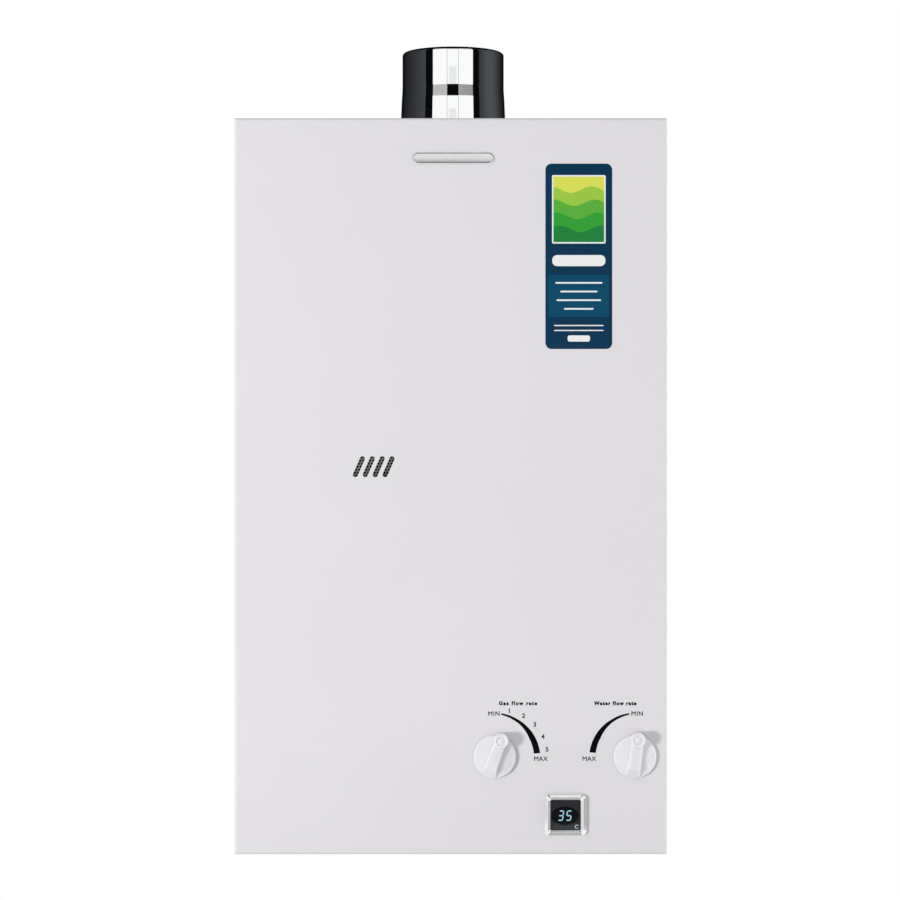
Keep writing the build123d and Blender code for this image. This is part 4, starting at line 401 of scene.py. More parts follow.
for subpart in frame["record"]["subparts"]:
    shown = frame["nodes"][subpart["node"]]
    shown.data.materials.clear()
    shown.data.materials.append(FINISHES[subpart["material_slot"]])
frame["nodes"]["flue_flange"].data.materials[0] = FINISHES["flange_steel"]


# Flue collar

FLUE_SEGMENTS = 192
FLUE_WALL = 1.0
FLUE_BASE_R = 44.0
FLUE_STEP_R = 43.2
FLUE_R = 42.5
FLUE_FOOT_H = 1.2
FLUE_STEP_LOW = 23.0
FLUE_STEP_HIGH = 34.0
FLUE_STEP_EASE = 0.1
FLUE_STEP_ROWS = 40
FLUE_RIM_R = 3.0
FLUE_RIM_KNEE = 16.0
FLUE_RIM_START = 0.4
FLUE_RIM_ROWS = 14


def flue_step():
    """Points up the step's outside: an even slope, eased at both ends."""
    middles = [(row + 0.5) / FLUE_STEP_ROWS for row in range(FLUE_STEP_ROWS)]
    slopes = [min(1.0, share / FLUE_STEP_EASE, (1 - share) / FLUE_STEP_EASE) for share in middles]
    points = []
    for row in range(FLUE_STEP_ROWS + 1):
        ease = sum(slopes[:row]) / sum(slopes)
        points.append((FLUE_STEP_R + (FLUE_R - FLUE_STEP_R) * ease,
                       TOP_Z + FLUE_STEP_LOW + (FLUE_STEP_HIGH - FLUE_STEP_LOW) * row / FLUE_STEP_ROWS))
    return points


def build_flue_collar(x, depth):
    """Thin spun collar: a slight cone, a short steeper cone, a straight spigot and a rim rolled inwards."""
    low, high = node_box("flue_collar")
    knee = math.radians(FLUE_RIM_KNEE)
    roll = (FLUE_R - FLUE_RIM_R * math.cos(knee), high.z - FLUE_RIM_R)
    outside = [(FLUE_BASE_R, low.z), (FLUE_BASE_R, low.z + FLUE_FOOT_H), *flue_step()]
    outside.append((FLUE_R, roll[1] + FLUE_RIM_R * math.sin(knee) - FLUE_RIM_START))
    inside = [(radius - FLUE_WALL, height) for radius, height in reversed(outside)]
    profile = outside + arc(roll, FLUE_RIM_R, FLUE_RIM_KNEE, 90, FLUE_RIM_ROWS)
    profile += arc(roll, FLUE_RIM_R - FLUE_WALL, 90, FLUE_RIM_KNEE, FLUE_RIM_ROWS) + inside
    bm = solid(turned(profile, FLUE_SEGMENTS), Matrix.Translation((x, -depth, 0.0)), closed=True)
    stand_in("flue_collar_spun", bm, "flue_collar", "bright_steel")


flue_x, flue_depth, _ = node_middle("flue_collar")
build_flue_collar(flue_x, flue_depth)


# Screws

SCREW_SEGMENTS = 40
SCREW_SHANK_R = 2.0
SCREW_LENGTH = 9.0
SCREW_PLAIN = 1.0
SCREW_TURN_H = 1.2
SCREW_CUT = 0.35
HEAD_R = 4.0
HEAD_H = 2.2
HEAD_ANGLES = range(10, 81, 10)
HEAD_ROUND = 0.6
HEAD_FLAT = 0.12
CROSS_LENGTH = 4.4
CROSS_WIDTH = 0.9
CROSS_CORNER_R = 0.2
CROSS_STEPS = 2
CROSS_DEPTH = 1.3
CROSS_TAPER = 0.45
CROSS_OVER = 1.0
FLUE_SCREWS = 4
FLUE_SCREW_R = 50.0
FLUE_SCREW_START = 45.0
FLUE_CROSS_TURN = 25.0
FLUE_CROSS_NEXT = 40.0
COVER_SCREW_DEPTH = 14.0
COVER_SCREW_Z = 250.0
COVER_CROSS_TURNS = {(1, 1): 15.0, (1, -1): 60.0, (-1, 1): 40.0, (-1, -1): 80.0}


def make_screw():
    """A pan-head screw with a cross recess; its head stands on the sketch plane."""
    root = SCREW_SHANK_R - SCREW_CUT
    profile = [(root, -SCREW_LENGTH)]
    for turn in range(int((SCREW_LENGTH - SCREW_PLAIN) / SCREW_TURN_H)):
        foot = -SCREW_LENGTH + turn * SCREW_TURN_H
        profile += [(SCREW_SHANK_R, foot + SCREW_TURN_H / 2), (root, foot + SCREW_TURN_H)]
    profile += [(root, 0.0), (HEAD_R, 0.0)]
    for angle in HEAD_ANGLES:
        bend = math.radians(angle)
        profile.append((HEAD_R * math.cos(bend) ** HEAD_ROUND, HEAD_H * math.sin(bend)))
    profile.append((HEAD_R * HEAD_FLAT, HEAD_H))
    screw = solid(turned(profile, SCREW_SEGMENTS))
    for turn in (0.0, 90.0):
        recess = []
        for share, height in ((CROSS_TAPER, HEAD_H - CROSS_DEPTH), (1.0, HEAD_H + CROSS_OVER)):
            sizes = [size * share for size in (CROSS_LENGTH, CROSS_WIDTH, CROSS_CORNER_R)]
            recess.append(level(rounded_rectangle(*sizes, CROSS_STEPS), height))
        screw = combine(screw, solid(recess, turn_about("Z", turn)), "DIFFERENCE")
    return screw


def build_screws(name, node, places):
    """Copies of one screw at several places, standing for a CAD node."""
    bm = bmesh.new()
    for place in places:
        screw = make_screw()
        bmesh.ops.transform(screw, matrix=place, verts=screw.verts)
        mesh = bpy.data.meshes.new("screw_copy")
        screw.to_mesh(mesh)
        screw.free()
        bm.from_mesh(mesh)
        bpy.data.meshes.remove(mesh)
    stand_in(name, bm, node, "zinc_steel")


def flue_screw_place(index):
    """Where one screw of the flange stands, and how far its cross is turned."""
    around = math.radians(FLUE_SCREW_START + 360 / FLUE_SCREWS * index)
    x = flue_x + FLUE_SCREW_R * math.cos(around)
    depth = flue_depth - FLUE_SCREW_R * math.sin(around)
    cross = turn_about("Z", FLUE_CROSS_TURN + FLUE_CROSS_NEXT * index)
    return Matrix.Translation((x, -depth, node_box("flue_flange")[1].z)) @ cross


def cover_screw_place(side, rise):
    """Where one screw of the cover stands on a flank, and how far its cross is turned."""
    base = Matrix.Translation((side * cover_high.x, -COVER_SCREW_DEPTH, rise * COVER_SCREW_Z))
    return base @ turn_about("Y", 90 * side) @ turn_about("Z", COVER_CROSS_TURNS[side, rise])


build_screws("flue_screws_cross", "flue_screws", [flue_screw_place(index) for index in range(FLUE_SCREWS)])
build_screws("cover_screws_cross", "cover_screws", [cover_screw_place(*spot) for spot in COVER_CROSS_TURNS])


# Knobs

KNOB_Z = -218.5
GAS_X = 35.6
WATER_X = 148.9
GAS_POINTER = 20.0
WATER_POINTER = 8.0
KNOB_SHARP = 28.0
KNOB_SEGMENTS = 128
KNOB_R = 17.2
KNOB_FOOT = 0.5
KNOB_RIM_H = 2.5
KNOB_EDGE_R = 0.8
KNOB_EDGE_END = 75
KNOB_EDGE_STEPS = 5
CROWN_H = 2.4
CROWN_OUTER_R = KNOB_R - 1.4
CROWN_INNER_R = 2.0
CROWN_ROUND = 1.2
CROWN_ROWS = 12
LOBE_SEGMENTS = 64
LOBE_OUT = 14.4
LOBE_R = 5.8
LOBE_H = 13.0
LOBE_FOOT_IN = 0.3
LOBE_FOOT_UP = 0.4
LOBE_EDGE_R = 1.1
LOBE_EDGE_STEPS = 6
# The lobe's dish and dome: radius, and how far below the lobe's top.
LOBE_DISH = ((4.2, 0.0), (3.7, 0.5), (3.2, 0.9), (2.6, 0.9), (2.3, 0.6), (1.7, 0.3), (0.9, 0.15),
             (0.2, 0.1))
GRIP_H = 9.0
GRIP_LOW = 1.0
GRIP_SHOULDER = KNOB_RIM_H - 0.9
GRIP_TIP = 0.15
GRIP_FOOT = 6.5
GRIP_FLARE = 0.7
GRIP_FLARE_TOP = 0.3
GRIP_CREST = 4.4
GRIP_END = -15.7
GRIP_TOP_END = 12.0
GRIP_SLOPE = 6.2
GRIP_EDGE_R = 0.8
GRIP_EDGE_LEAST = 0.2
GRIP_EDGE_START = 20
GRIP_EDGE_STEPS = 5
# Places of the grip's sections, from its lower end.
GRIP_STEPS = (0.0, 1.0, 2.5, 4.0, 5.2, 5.8, 6.2, 6.6, 7.2, 9.0, 12.0, 16.0, 20.0, 24.0)


def knob_disc():
    """A thin disc with a rounded rim and a low crown."""
    profile = [(KNOB_R - KNOB_FOOT, 0.0), (KNOB_R, KNOB_FOOT)]
    rim = (KNOB_R - KNOB_EDGE_R, KNOB_RIM_H - KNOB_EDGE_R)
    profile += arc(rim, KNOB_EDGE_R, 0, KNOB_EDGE_END, KNOB_EDGE_STEPS)
    for row in range(CROWN_ROWS + 1):
        share = row / CROWN_ROWS
        radius = CROWN_OUTER_R - (CROWN_OUTER_R - CROWN_INNER_R) * share
        profile.append((radius, KNOB_RIM_H + CROWN_H * math.sin(math.radians(90 * share)) ** CROWN_ROUND))
    return solid(turned(profile, KNOB_SEGMENTS))


def knob_lobe():
    """The round pointer: an upright boss with a dished top and a small dome in the dish."""
    shoulder = LOBE_H - LOBE_EDGE_R
    profile = [(LOBE_R - LOBE_FOOT_IN, 0.0), (LOBE_R, LOBE_FOOT_UP), (LOBE_R, shoulder)]
    profile += arc((LOBE_R - LOBE_EDGE_R, shoulder), LOBE_EDGE_R, 0, 90, LOBE_EDGE_STEPS)[1:]
    profile += [(radius, LOBE_H - sunk) for radius, sunk in LOBE_DISH]
    return solid(turned(profile, LOBE_SEGMENTS), Matrix.Translation((0.0, LOBE_OUT, 0.0)))


def grip_section(along):
    """The grip's section at a place along it: sloped sides, rounded top edges, a sloped lower end."""
    slope = min(1.0, (along - GRIP_END) / GRIP_SLOPE)
    height = KNOB_RIM_H + GRIP_TIP + (GRIP_H - KNOB_RIM_H - GRIP_TIP) * slope
    lift = (height - KNOB_RIM_H) / (GRIP_H - KNOB_RIM_H)
    flare = GRIP_FLARE * max(0.0, 1 - (along - GRIP_END) / (GRIP_TOP_END - GRIP_END))
    foot = GRIP_FOOT - GRIP_FLARE + flare
    crest = foot - (GRIP_FOOT - GRIP_FLARE - GRIP_CREST + flare * GRIP_FLARE_TOP) * lift
    radius = GRIP_EDGE_R * min(1.0, GRIP_EDGE_LEAST + lift)
    right = [(foot, GRIP_LOW), (foot, GRIP_SHOULDER)]
    right += arc((crest - radius, height - radius), radius, GRIP_EDGE_START, 90, GRIP_EDGE_STEPS)
    left = [(-u, w) for u, w in reversed(right)]
    return [(u, along, w) for u, w in right + left]


def knob_grip():
    """The bar across the knob."""
    places = [GRIP_END + step for step in GRIP_STEPS] + [GRIP_TOP_END]
    return solid([grip_section(along) for along in places])


def build_knob(name, node, body, axis_x, pointer):
    """Disc, grip and pointer joined into one moulding."""
    back = -node_box(node)[1].y
    knob = combine(combine(knob_disc(), knob_grip(), "UNION"), knob_lobe(), "UNION")
    bmesh.ops.transform(knob, matrix=front_place(axis_x, KNOB_Z, back, pointer), verts=knob.verts)
    stand_in(name, knob, node, "knob_white", body=body, sharp=KNOB_SHARP)


build_knob("gas_knob_moulding", "gas_knob", "gas_control", GAS_X, GAS_POINTER)
build_knob("water_knob_moulding", "water_knob", "water_control", WATER_X, WATER_POINTER)


# Printed scales

INK_T = 0.03
INK_SHARP = 60.0
LETTER_SHARE = 0.69
ARC_OUTER_THIN = 35.2
ARC_OUTER_THICK = 36.8
ARC_EVEN_SHARE = 0.3
ARC_WIDTHS = ((0.0, 1.3), (0.35, 2.5), (0.7, 4.7), (1.0, 5.2))
ARC_STEPS = 48
GAS_ARC = (8.8, 86.0)
WATER_ARC = (-7.4, -85.0)
# Height and stroke weight of the print.
CAPTION = (3.3, 0.26)
MARK = (3.7, 0.09)
NUMBER = (3.8, 0.15)
CAPTION_Z = -175.6
MIN_Z = -183.9
MAX_Z = -220.4
MIN_SPACING = 1.12
MAX_SPACING = 1.05
GAS_NUMBERS = ((47.4, -181.6), (58.9, -185.6), (68.0, -192.7), (74.6, -202.5), (77.9, -212.9))
# Each word: its text, x, z, height, weight and letter spacing.
GAS_WORDS = [("Gas flow rate", 54.5, CAPTION_Z, *CAPTION, 1.36), ("MIN", 34.9, MIN_Z, *MARK, MIN_SPACING),
             ("MAX", 73.0, MAX_Z, *MARK, MAX_SPACING)]
GAS_WORDS += [(str(number), *spot, *NUMBER, 1.0) for number, spot in enumerate(GAS_NUMBERS, 1)]
WATER_WORDS = [("Water flow rate", 133.0, CAPTION_Z, *CAPTION, 1.26),
               ("MIN", 150.8, MIN_Z, *MARK, MIN_SPACING), ("MAX", 112.2, MAX_Z, *MARK, MAX_SPACING)]


def scale_arc(bm, x, start, end):
    """A crescent that widens from start to end, in degrees clockwise from the top."""
    outer, inner = [], []
    for step in range(ARC_STEPS + 1):
        share = step / ARC_STEPS
        angle = math.radians(start + (end - start) * share)
        swell = max(0.0, share - ARC_EVEN_SHARE) / (1 - ARC_EVEN_SHARE)
        edge = ARC_OUTER_THIN + (ARC_OUTER_THICK - ARC_OUTER_THIN) * swell
        for line, radius in ((outer, edge), (inner, edge - between(ARC_WIDTHS, share))):
            line.append((radius * math.sin(angle), radius * math.cos(angle)))
    plate(bm, outer + list(reversed(inner)), 0.0, INK_T, front_place(x, KNOB_Z))


def lettering(bm, words, x, z, size, weight, spacing=1.0):
    """Adds words as thin ink, centred on a place; size is the letters' height, weight widens strokes."""
    text = bpy.data.curves.new("words", "FONT")
    text.body = words
    text.size = (size - 2 * weight) / LETTER_SHARE
    text.space_character = spacing
    text.bevel_depth = weight
    text.bevel_resolution = 1
    mesh = evaluated_mesh(link_object("words", text))
    across = [corner.co.x for corner in mesh.vertices]
    upright = [corner.co.y for corner in mesh.vertices]
    middle = ((min(across) + max(across)) / 2, (min(upright) + max(upright)) / 2)
    flatten = Matrix.Diagonal((1.0, 1.0, INK_T / 2 / weight, 1.0))
    mesh.transform(front_place(x, z) @ Matrix.Translation((-middle[0], -middle[1], INK_T / 2)) @ flatten)
    bm.from_mesh(mesh)
    bpy.data.meshes.remove(mesh)
    bpy.data.curves.remove(text)


def build_scale(name, axis_x, sweep, words):
    """A crescent round a knob, its caption and its marks."""
    bm = bmesh.new()
    scale_arc(bm, axis_x, *sweep)
    for word in words:
        lettering(bm, *word)
    piece(name, bm, "ink_black", sharp=INK_SHARP)


build_scale("gas_scale_print", GAS_X, GAS_ARC, GAS_WORDS)
build_scale("water_scale_print", WATER_X, WATER_ARC, WATER_WORDS)


# Display

WINDOW_SIZE = 24.5
WINDOW_R = 1.0
BEZEL_CORNER_R = 4.0
BEZEL_STEPS = 10
# The bezel's section: share of the way from its outer edge to the window, and height.
BEZEL_SECTION = ((0.0, 0.0), (0.0, 2.2), (0.0, 2.3), (0.01, 2.4), (0.03, 2.46), (0.05, 2.5), (0.45, 3.34),
                 (0.48, 3.4), (0.52, 3.47), (0.55, 3.5), (0.58, 3.47), (0.62, 3.4), (0.65, 3.34),
                 (0.95, 2.71), (0.97, 2.67), (0.99, 2.58), (1.0, 2.45), (1.0, 2.3), (1.0, 0.0))
BEZEL_SECTION_H = 3.5
SLEEVE_OUTER = 28.6
SLEEVE_INNER = 26.8
SLEEVE_R = 0.8
SLEEVE_D = 12.0
LENS_SIZE = 26.5
LENS_T = 1.6
LENS_R = 0.6
LENS_EDGE = 0.2
DIGIT_SHIFT = -0.4
DIGIT_DROP = -0.8
OVAL_W = 22.4
OVAL_H = 14.8
OVAL_SEGMENTS = 96
DIGIT_W = 4.4
DIGIT_TALL = 8.5
DIGIT_BAR = 0.98
DIGIT_GAP = 0.12
DIGIT_PITCH = 6.4
DIGIT_LEAN = 0.15
DIGIT_T = 0.04
SEGMENTS = {"3": "abcdg", "5": "acdfg"}
UNIT_X = 9.0
UNIT_Z = -9.8
UNIT = (3.3, 0.1)


def build_bezel(place, width, tall, thick):
    """A plated frame: rounded outside, sloped towards the window, with a sleeve through the cover."""
    rings = []
    for share, height in BEZEL_SECTION:
        across = width + (WINDOW_SIZE - width) * share
        upright = tall + (WINDOW_SIZE - tall) * share
        corner = BEZEL_CORNER_R + (WINDOW_R - BEZEL_CORNER_R) * share
        outline = rounded_rectangle(across, upright, corner, BEZEL_STEPS)
        rings.append(level(outline, height * thick / BEZEL_SECTION_H))
    rings += [level(rounded_rectangle(size, size, SLEEVE_R, BEZEL_STEPS), height)
              for size, height in ((SLEEVE_INNER, 0.0), (SLEEVE_INNER, -SLEEVE_D),
                                   (SLEEVE_OUTER, -SLEEVE_D), (SLEEVE_OUTER, 0.0))]
    stand_in("display_bezel_plated", solid(rings, place, closed=True), "display_bezel", "bezel_chrome",
             sharp=ROUND_SHARP)


def segment_bar(name):
    """The outline of one display segment, before it leans."""
    bar = DIGIT_BAR / 2
    half = DIGIT_W / 2 - bar
    tall = DIGIT_TALL / 2 - bar
    ends = {
        "a": ((-half, tall), (half, tall)),
        "b": ((half, 0), (half, tall)),
        "c": ((half, -tall), (half, 0)),
        "d": ((-half, -tall), (half, -tall)),
        "f": ((-half, 0), (-half, tall)),
        "g": ((-half, 0), (half, 0)),
    }
    (left, low), (right, high) = ends[name]
    if low == high:
        return [(left + DIGIT_GAP, low), (left + bar, low - bar), (right - bar, low - bar),
                (right - DIGIT_GAP, low), (right - bar, low + bar), (left + bar, low + bar)]
    return [(left, low + DIGIT_GAP), (left + bar, low + bar), (left + bar, high - bar),
            (left, high - DIGIT_GAP), (left - bar, high - bar), (left - bar, low + bar)]


def build_display():
    """Bezel, tinted lens, dark oval, lit number and unit letter."""
    low, high = node_box("display_bezel")
    x, _, z = node_middle("display_bezel")
    place = front_place(x, z)
    build_bezel(place, high.x - low.x, high.z - low.z, -low.y - FRONT_DEPTH)
    section = ((LENS_SIZE, -LENS_T), (LENS_SIZE, -LENS_EDGE), (LENS_SIZE - 2 * LENS_EDGE, 0.0))
    lens = [level(rounded_rectangle(size, size, LENS_R), height) for size, height in section]
    stand_in("display_lens_tinted", solid(lens, place), "display_lens", "lens_dark")
    oval = bmesh.new()
    outline = [(u * OVAL_W / 2 + DIGIT_SHIFT, v * OVAL_H / 2 + DIGIT_DROP)
               for u, v in circle(1.0, OVAL_SEGMENTS)]
    plate(oval, outline, 0.0, DIGIT_T / 2, place)
    piece("display_oval_shade", oval, "display_oval")
    number = bmesh.new()
    for start, digit in ((-DIGIT_PITCH / 2, "3"), (DIGIT_PITCH / 2, "5")):
        for name in SEGMENTS[digit]:
            outline = [(start + u + DIGIT_LEAN * v + DIGIT_SHIFT, v + DIGIT_DROP)
                       for u, v in segment_bar(name)]
            plate(number, outline, DIGIT_T / 2, DIGIT_T, place)
    piece("display_number", number, "digit_glow")
    unit = bmesh.new()
    lettering(unit, "C", x + UNIT_X, z + UNIT_Z, *UNIT)
    piece("display_unit_letter", unit, "display_unit")


build_display()


# Sight openings

# A near-black sheet behind the perforated plate: painted shade in its holes.
SHADE_SHEET_W = 50.0
SHADE_SHEET_H = 32.0
SHADE_SHEET_R = 2.0
SHADE_SHEET_T = 0.3
SIGHT_SHEET = 0.8
SIGHT_ACROSS = 8.0 / 3
SIGHT_UP = 2.47
SIGHT_LEAN = math.tan(math.radians(23.7))
SIGHT_HOLE_R = 0.92
CELL_STEPS = 4
SIGHT_COLUMNS = 6
SIGHT_ROWS = 6


def perforated_cell(bm, u, v, place, walls):
    """One leaning cell of the plate with a round hole; walls are its sides on the plate's outline."""
    across = Vector((SIGHT_ACROSS / 2, 0.0))
    up = Vector((SIGHT_UP * SIGHT_LEAN / 2, SIGHT_UP / 2))
    outline, sides = [], []
    for side, (start, end) in enumerate(((across - up, across + up), (across + up, up - across),
                                         (up - across, -across - up), (-across - up, across - up))):
        outline += [start.lerp(end, step / CELL_STEPS) for step in range(CELL_STEPS)]
        sides += [side] * CELL_STEPS
    hole = [point.normalized() * SIGHT_HOLE_R for point in outline]
    rings = [[bm.verts.new(place @ Vector((u + point.x, v + point.y, height))) for point in line]
             for line, height in ((hole, 0.0), (outline, 0.0), (outline, SIGHT_SHEET), (hole, SIGHT_SHEET))]
    for ring, (lower, upper) in enumerate(zip(rings, rings[1:] + rings[:1])):
        for index, side in enumerate(sides):
            after = (index + 1) % len(sides)
            if ring != 1 or side in walls:
                bm.faces.new((lower[index], lower[after], upper[after], upper[index]))


def build_sight_plate():
    """The perforated plate behind the sight slots, and a near-black sheet against its back as painted shade
    that makes the holes read dark.
    """
    low, high = node_box("sight_mesh")
    x, _, z = node_middle("sight_mesh")
    place = front_place(x, z, -high.y)
    rim = high.y - low.y
    bm = bmesh.new()
    for column in range(-SIGHT_COLUMNS, SIGHT_COLUMNS + 1):
        for row in range(-SIGHT_ROWS, SIGHT_ROWS + 1):
            at_edge = (column == SIGHT_COLUMNS, row == SIGHT_ROWS,
                       column == -SIGHT_COLUMNS, row == -SIGHT_ROWS)
            walls = [side for side, outer in enumerate(at_edge) if outer]
            u = SIGHT_ACROSS * column + SIGHT_UP * SIGHT_LEAN * row
            perforated_cell(bm, u, SIGHT_UP * row, place, walls)
    half_u = SIGHT_ACROSS * (SIGHT_COLUMNS + 0.5)
    half_v = SIGHT_UP * (SIGHT_ROWS + 0.5)
    lean = half_v * SIGHT_LEAN
    inner = [(half_u + lean, half_v), (lean - half_u, half_v), (-half_u - lean, -half_v),
             (half_u - lean, -half_v)]
    outer, lip = [[(u * ((high.x - low.x) / 2 - inset), v * ((high.z - low.z) / 2 - inset))
                   for u, v in ((1, 1), (-1, 1), (-1, -1), (1, -1))] for inset in (0.0, SIGHT_SHEET)]
    rings = [level(inner, 0.0), level(outer, 0.0), level(outer, rim), level(lip, rim),
             level(lip, SIGHT_SHEET), level(inner, SIGHT_SHEET)]
    skin(bm, rings, place, closed=True)
    stand_in("sight_plate_perforated", bm, "sight_mesh", "dark_mesh")
    # Painted shade: a near-black sheet behind the holes.
    shade_sheet = bmesh.new()
    plate(shade_sheet, rounded_rectangle(SHADE_SHEET_W, SHADE_SHEET_H, SHADE_SHEET_R), -SHADE_SHEET_T, 0.0, place)
    piece("sight_painted_shade", shade_sheet, "painted_shade_black")


build_sight_plate()


# Badge and label

BADGE_X = 2.0
BADGE_Z = 265.0
BADGE_W = 66.0
BADGE_H = 9.6
BADGE_STEPS = 14
# The badge's section: how far in from its outline, and height.
BADGE_SECTION = ((0.0, 0.0), (0.0, 0.55), (0.15, 0.95), (0.5, 1.2), (0.95, 1.3), (1.25, 1.25), (1.6, 0.95),
                 (1.8, 0.9))
BADGE_STRAIGHT = 0.01
LABEL_X = 103.6
LABEL_Z = 186.0
LABEL_W = 54.0
LABEL_H = 150.0
LABEL_R = 5.0
LABEL_T = 0.12
LABEL_EDGE = 0.12
LABEL_EDGE_LOW = 0.7
LABEL_STEPS = 10
LABEL_SHARP = 40.0
PRINT_T = 0.02
PATCH_STEPS = 8
WAVES_W = 41.0
WAVES_H = 53.0
WAVES_Z = 38.0
WAVE_SWELL = 2.6
WAVE_LENGTHS = 1.25
WAVE_SHIFT = 0.5
WAVE_STEPS = 40
RULE_WIDTHS = (38.0, 30.0, 36.0, 24.0)
RULE_H = 1.3
RULE_R = 0.6
RULE_TOP_Z = -21.5
RULE_PITCH = 7.0
RULE_STEPS = 4
LABEL_COLOURS = {"label_navy": (0.0, 0.034, 0.082), "label_teal": (0.0, 0.066, 0.135),
                 "label_white": (0.88, 0.89, 0.88), "label_green_0": (0.012, 0.225, 0.045),
                 "label_green_1": (0.032, 0.36, 0.035), "label_green_2": (0.105, 0.44, 0.045),
                 "label_green_3": (0.34, 0.60, 0.06), "label_green_4": (0.72, 0.76, 0.10)}
NAVY, TEAL, WHITE, FIRST_GREEN = range(4)
WAVES = len(LABEL_COLOURS) - FIRST_GREEN
# Patches below the waves: width, height, corner radius, place up the label and colour.
LABEL_PATCHES = ((43.0, 9.0, 4.0, -3.5, WHITE), (LABEL_W - 5.0, 34.0, 2.0, -32.0, TEAL),
                 (40.0, 0.9, 0.4, -56.0, WHITE), (40.0, 0.9, 0.4, -60.0, WHITE),
                 (18.0, 5.0, 1.5, -66.5, WHITE))
WAVES_PATCH = (WAVES_W + 2.4, WAVES_H + 2.4, 1.2, WAVES_Z, WHITE)


def build_badge():
    """A blank plated plate with a rounded edge and a sunk brushed field."""
    rings = []
    for inset, height in BADGE_SECTION:
        radius = BADGE_H / 2 - inset - BADGE_STRAIGHT
        outline = rounded_rectangle(BADGE_W - 2 * inset, BADGE_H - 2 * inset, radius, BADGE_STEPS)
        rings.append(level(outline, height))
    bm = solid(rings, front_place(BADGE_X, BADGE_Z))
    piece("blank_badge", bm, "satin_nickel", slot="bezel_chrome", sharp=ROUND_SHARP)


def label_print(bm, outline, layer, colour):
    """Adds a print on the label; layer counts the prints under it."""
    low, high = LABEL_T + layer * PRINT_T, LABEL_T + (layer + 1) * PRINT_T
    plate(bm, outline, low, high, front_place(LABEL_X, LABEL_Z), colour)


def label_patch(bm, width, height, radius, z, colour, layer=0, steps=PATCH_STEPS):
    """Adds a patch with round corners on the label's middle line."""
    outline = [(u, z + v) for u, v in rounded_rectangle(width, height, radius, steps)]
    label_print(bm, outline, layer, colour)


def wave_line(row):
    """The edge between two waves; the lowest and the highest are straight."""
    share = row / WAVES
    swell = WAVE_SWELL if 0 < share < 1 else 0.0
    base = WAVES_Z + WAVES_H * (share - 0.5)
    return [(WAVES_W * (step / WAVE_STEPS - 0.5),
             base + swell * math.sin(2 * math.pi * WAVE_LENGTHS * step / WAVE_STEPS + WAVE_SHIFT * row))
            for step in range(WAVE_STEPS + 1)]


def build_label():
    """A vinyl label of plain waves, a blank box, a band and rules."""
    for name, colour in LABEL_COLOURS.items():
        make_vinyl(name, colour)
    bm = bmesh.new()
    edge = []
    for inset, height in ((0.0, 0.0), (0.0, LABEL_T * LABEL_EDGE_LOW), (LABEL_EDGE, LABEL_T)):
        sizes = (LABEL_W - 2 * inset, LABEL_H - 2 * inset, LABEL_R - inset, LABEL_STEPS)
        edge.append(level(rounded_rectangle(*sizes), height))
    skin(bm, edge, front_place(LABEL_X, LABEL_Z), material=NAVY)
    label_patch(bm, *WAVES_PATCH)
    for row in range(WAVES):
        label_print(bm, wave_line(row) + list(reversed(wave_line(row + 1))), 1, FIRST_GREEN + row)
    for patch in LABEL_PATCHES:
        label_patch(bm, *patch)
    for index, width in enumerate(RULE_WIDTHS):
        label_patch(bm, width, RULE_H, RULE_R, RULE_TOP_Z - RULE_PITCH * index, WHITE, 1, RULE_STEPS)
    piece("plain_label", bm, *LABEL_COLOURS, sharp=LABEL_SHARP)


build_badge()
build_label()


# Connections under the case

CONNECTION_DEPTH = 62.0
CONNECTIONS = {"gas_inlet": GAS_X, "cold_water_inlet": WATER_X, "hot_water_outlet": -140.0}
ROUND_SEGMENTS = 72
BOTTOM_SHEET = 1.2
THREAD_R = 10.48
BORE_R = 7.5
BORE_EDGE = 0.8
THREAD_PITCH = 1.814
THREAD_DEEP = 1.16
THREAD_STEEP = 1.6
THREAD_VALLEY = 0.3
THREAD_ROWS = 10
THREAD_FOOT = 0.6
THREAD_START = 0.7
THREAD_END = 20.5
NECK_R = 10.2
NECK_START = 0.2
COLLAR_R = 15.0
COLLAR_T = 4.0
COLLAR_EDGE = 0.5
NUT_SEGMENTS = 120
NUT_FLATS = 27.0
NUT_BORE_R = 10.63
NUT_BORE_EDGE = 0.6
NUT_CORNER_CUT = 0.35
NUT_CORNER_SLOPE = 1.75
NUT_LEVELS = (0.0, 0.06, 0.12, 0.2, 0.5, 0.8, 0.88, 0.94, 1.0)


def thread_rings(low, high):
    """Rings of a helical thread between two heights, run out at both ends."""
    rows = int((high - low) / THREAD_PITCH * THREAD_ROWS)
    rings = []
    for row in range(rows + 1):
        height = low + (high - low) * row / rows
        run_out = min(1.0, (height - low) / THREAD_PITCH, (high - height) / THREAD_PITCH)

        def thread_radius(turn):
            phase = (height / THREAD_PITCH - turn) % 1.0
            flank = THREAD_STEEP * (1 - abs(2 * phase - 1)) - THREAD_VALLEY
            return THREAD_R - THREAD_DEEP * (1 - min(1.0, max(0.0, flank)) * run_out)

        rings.append(shaped_ring(thread_radius, ROUND_SEGMENTS, height))
    return rings


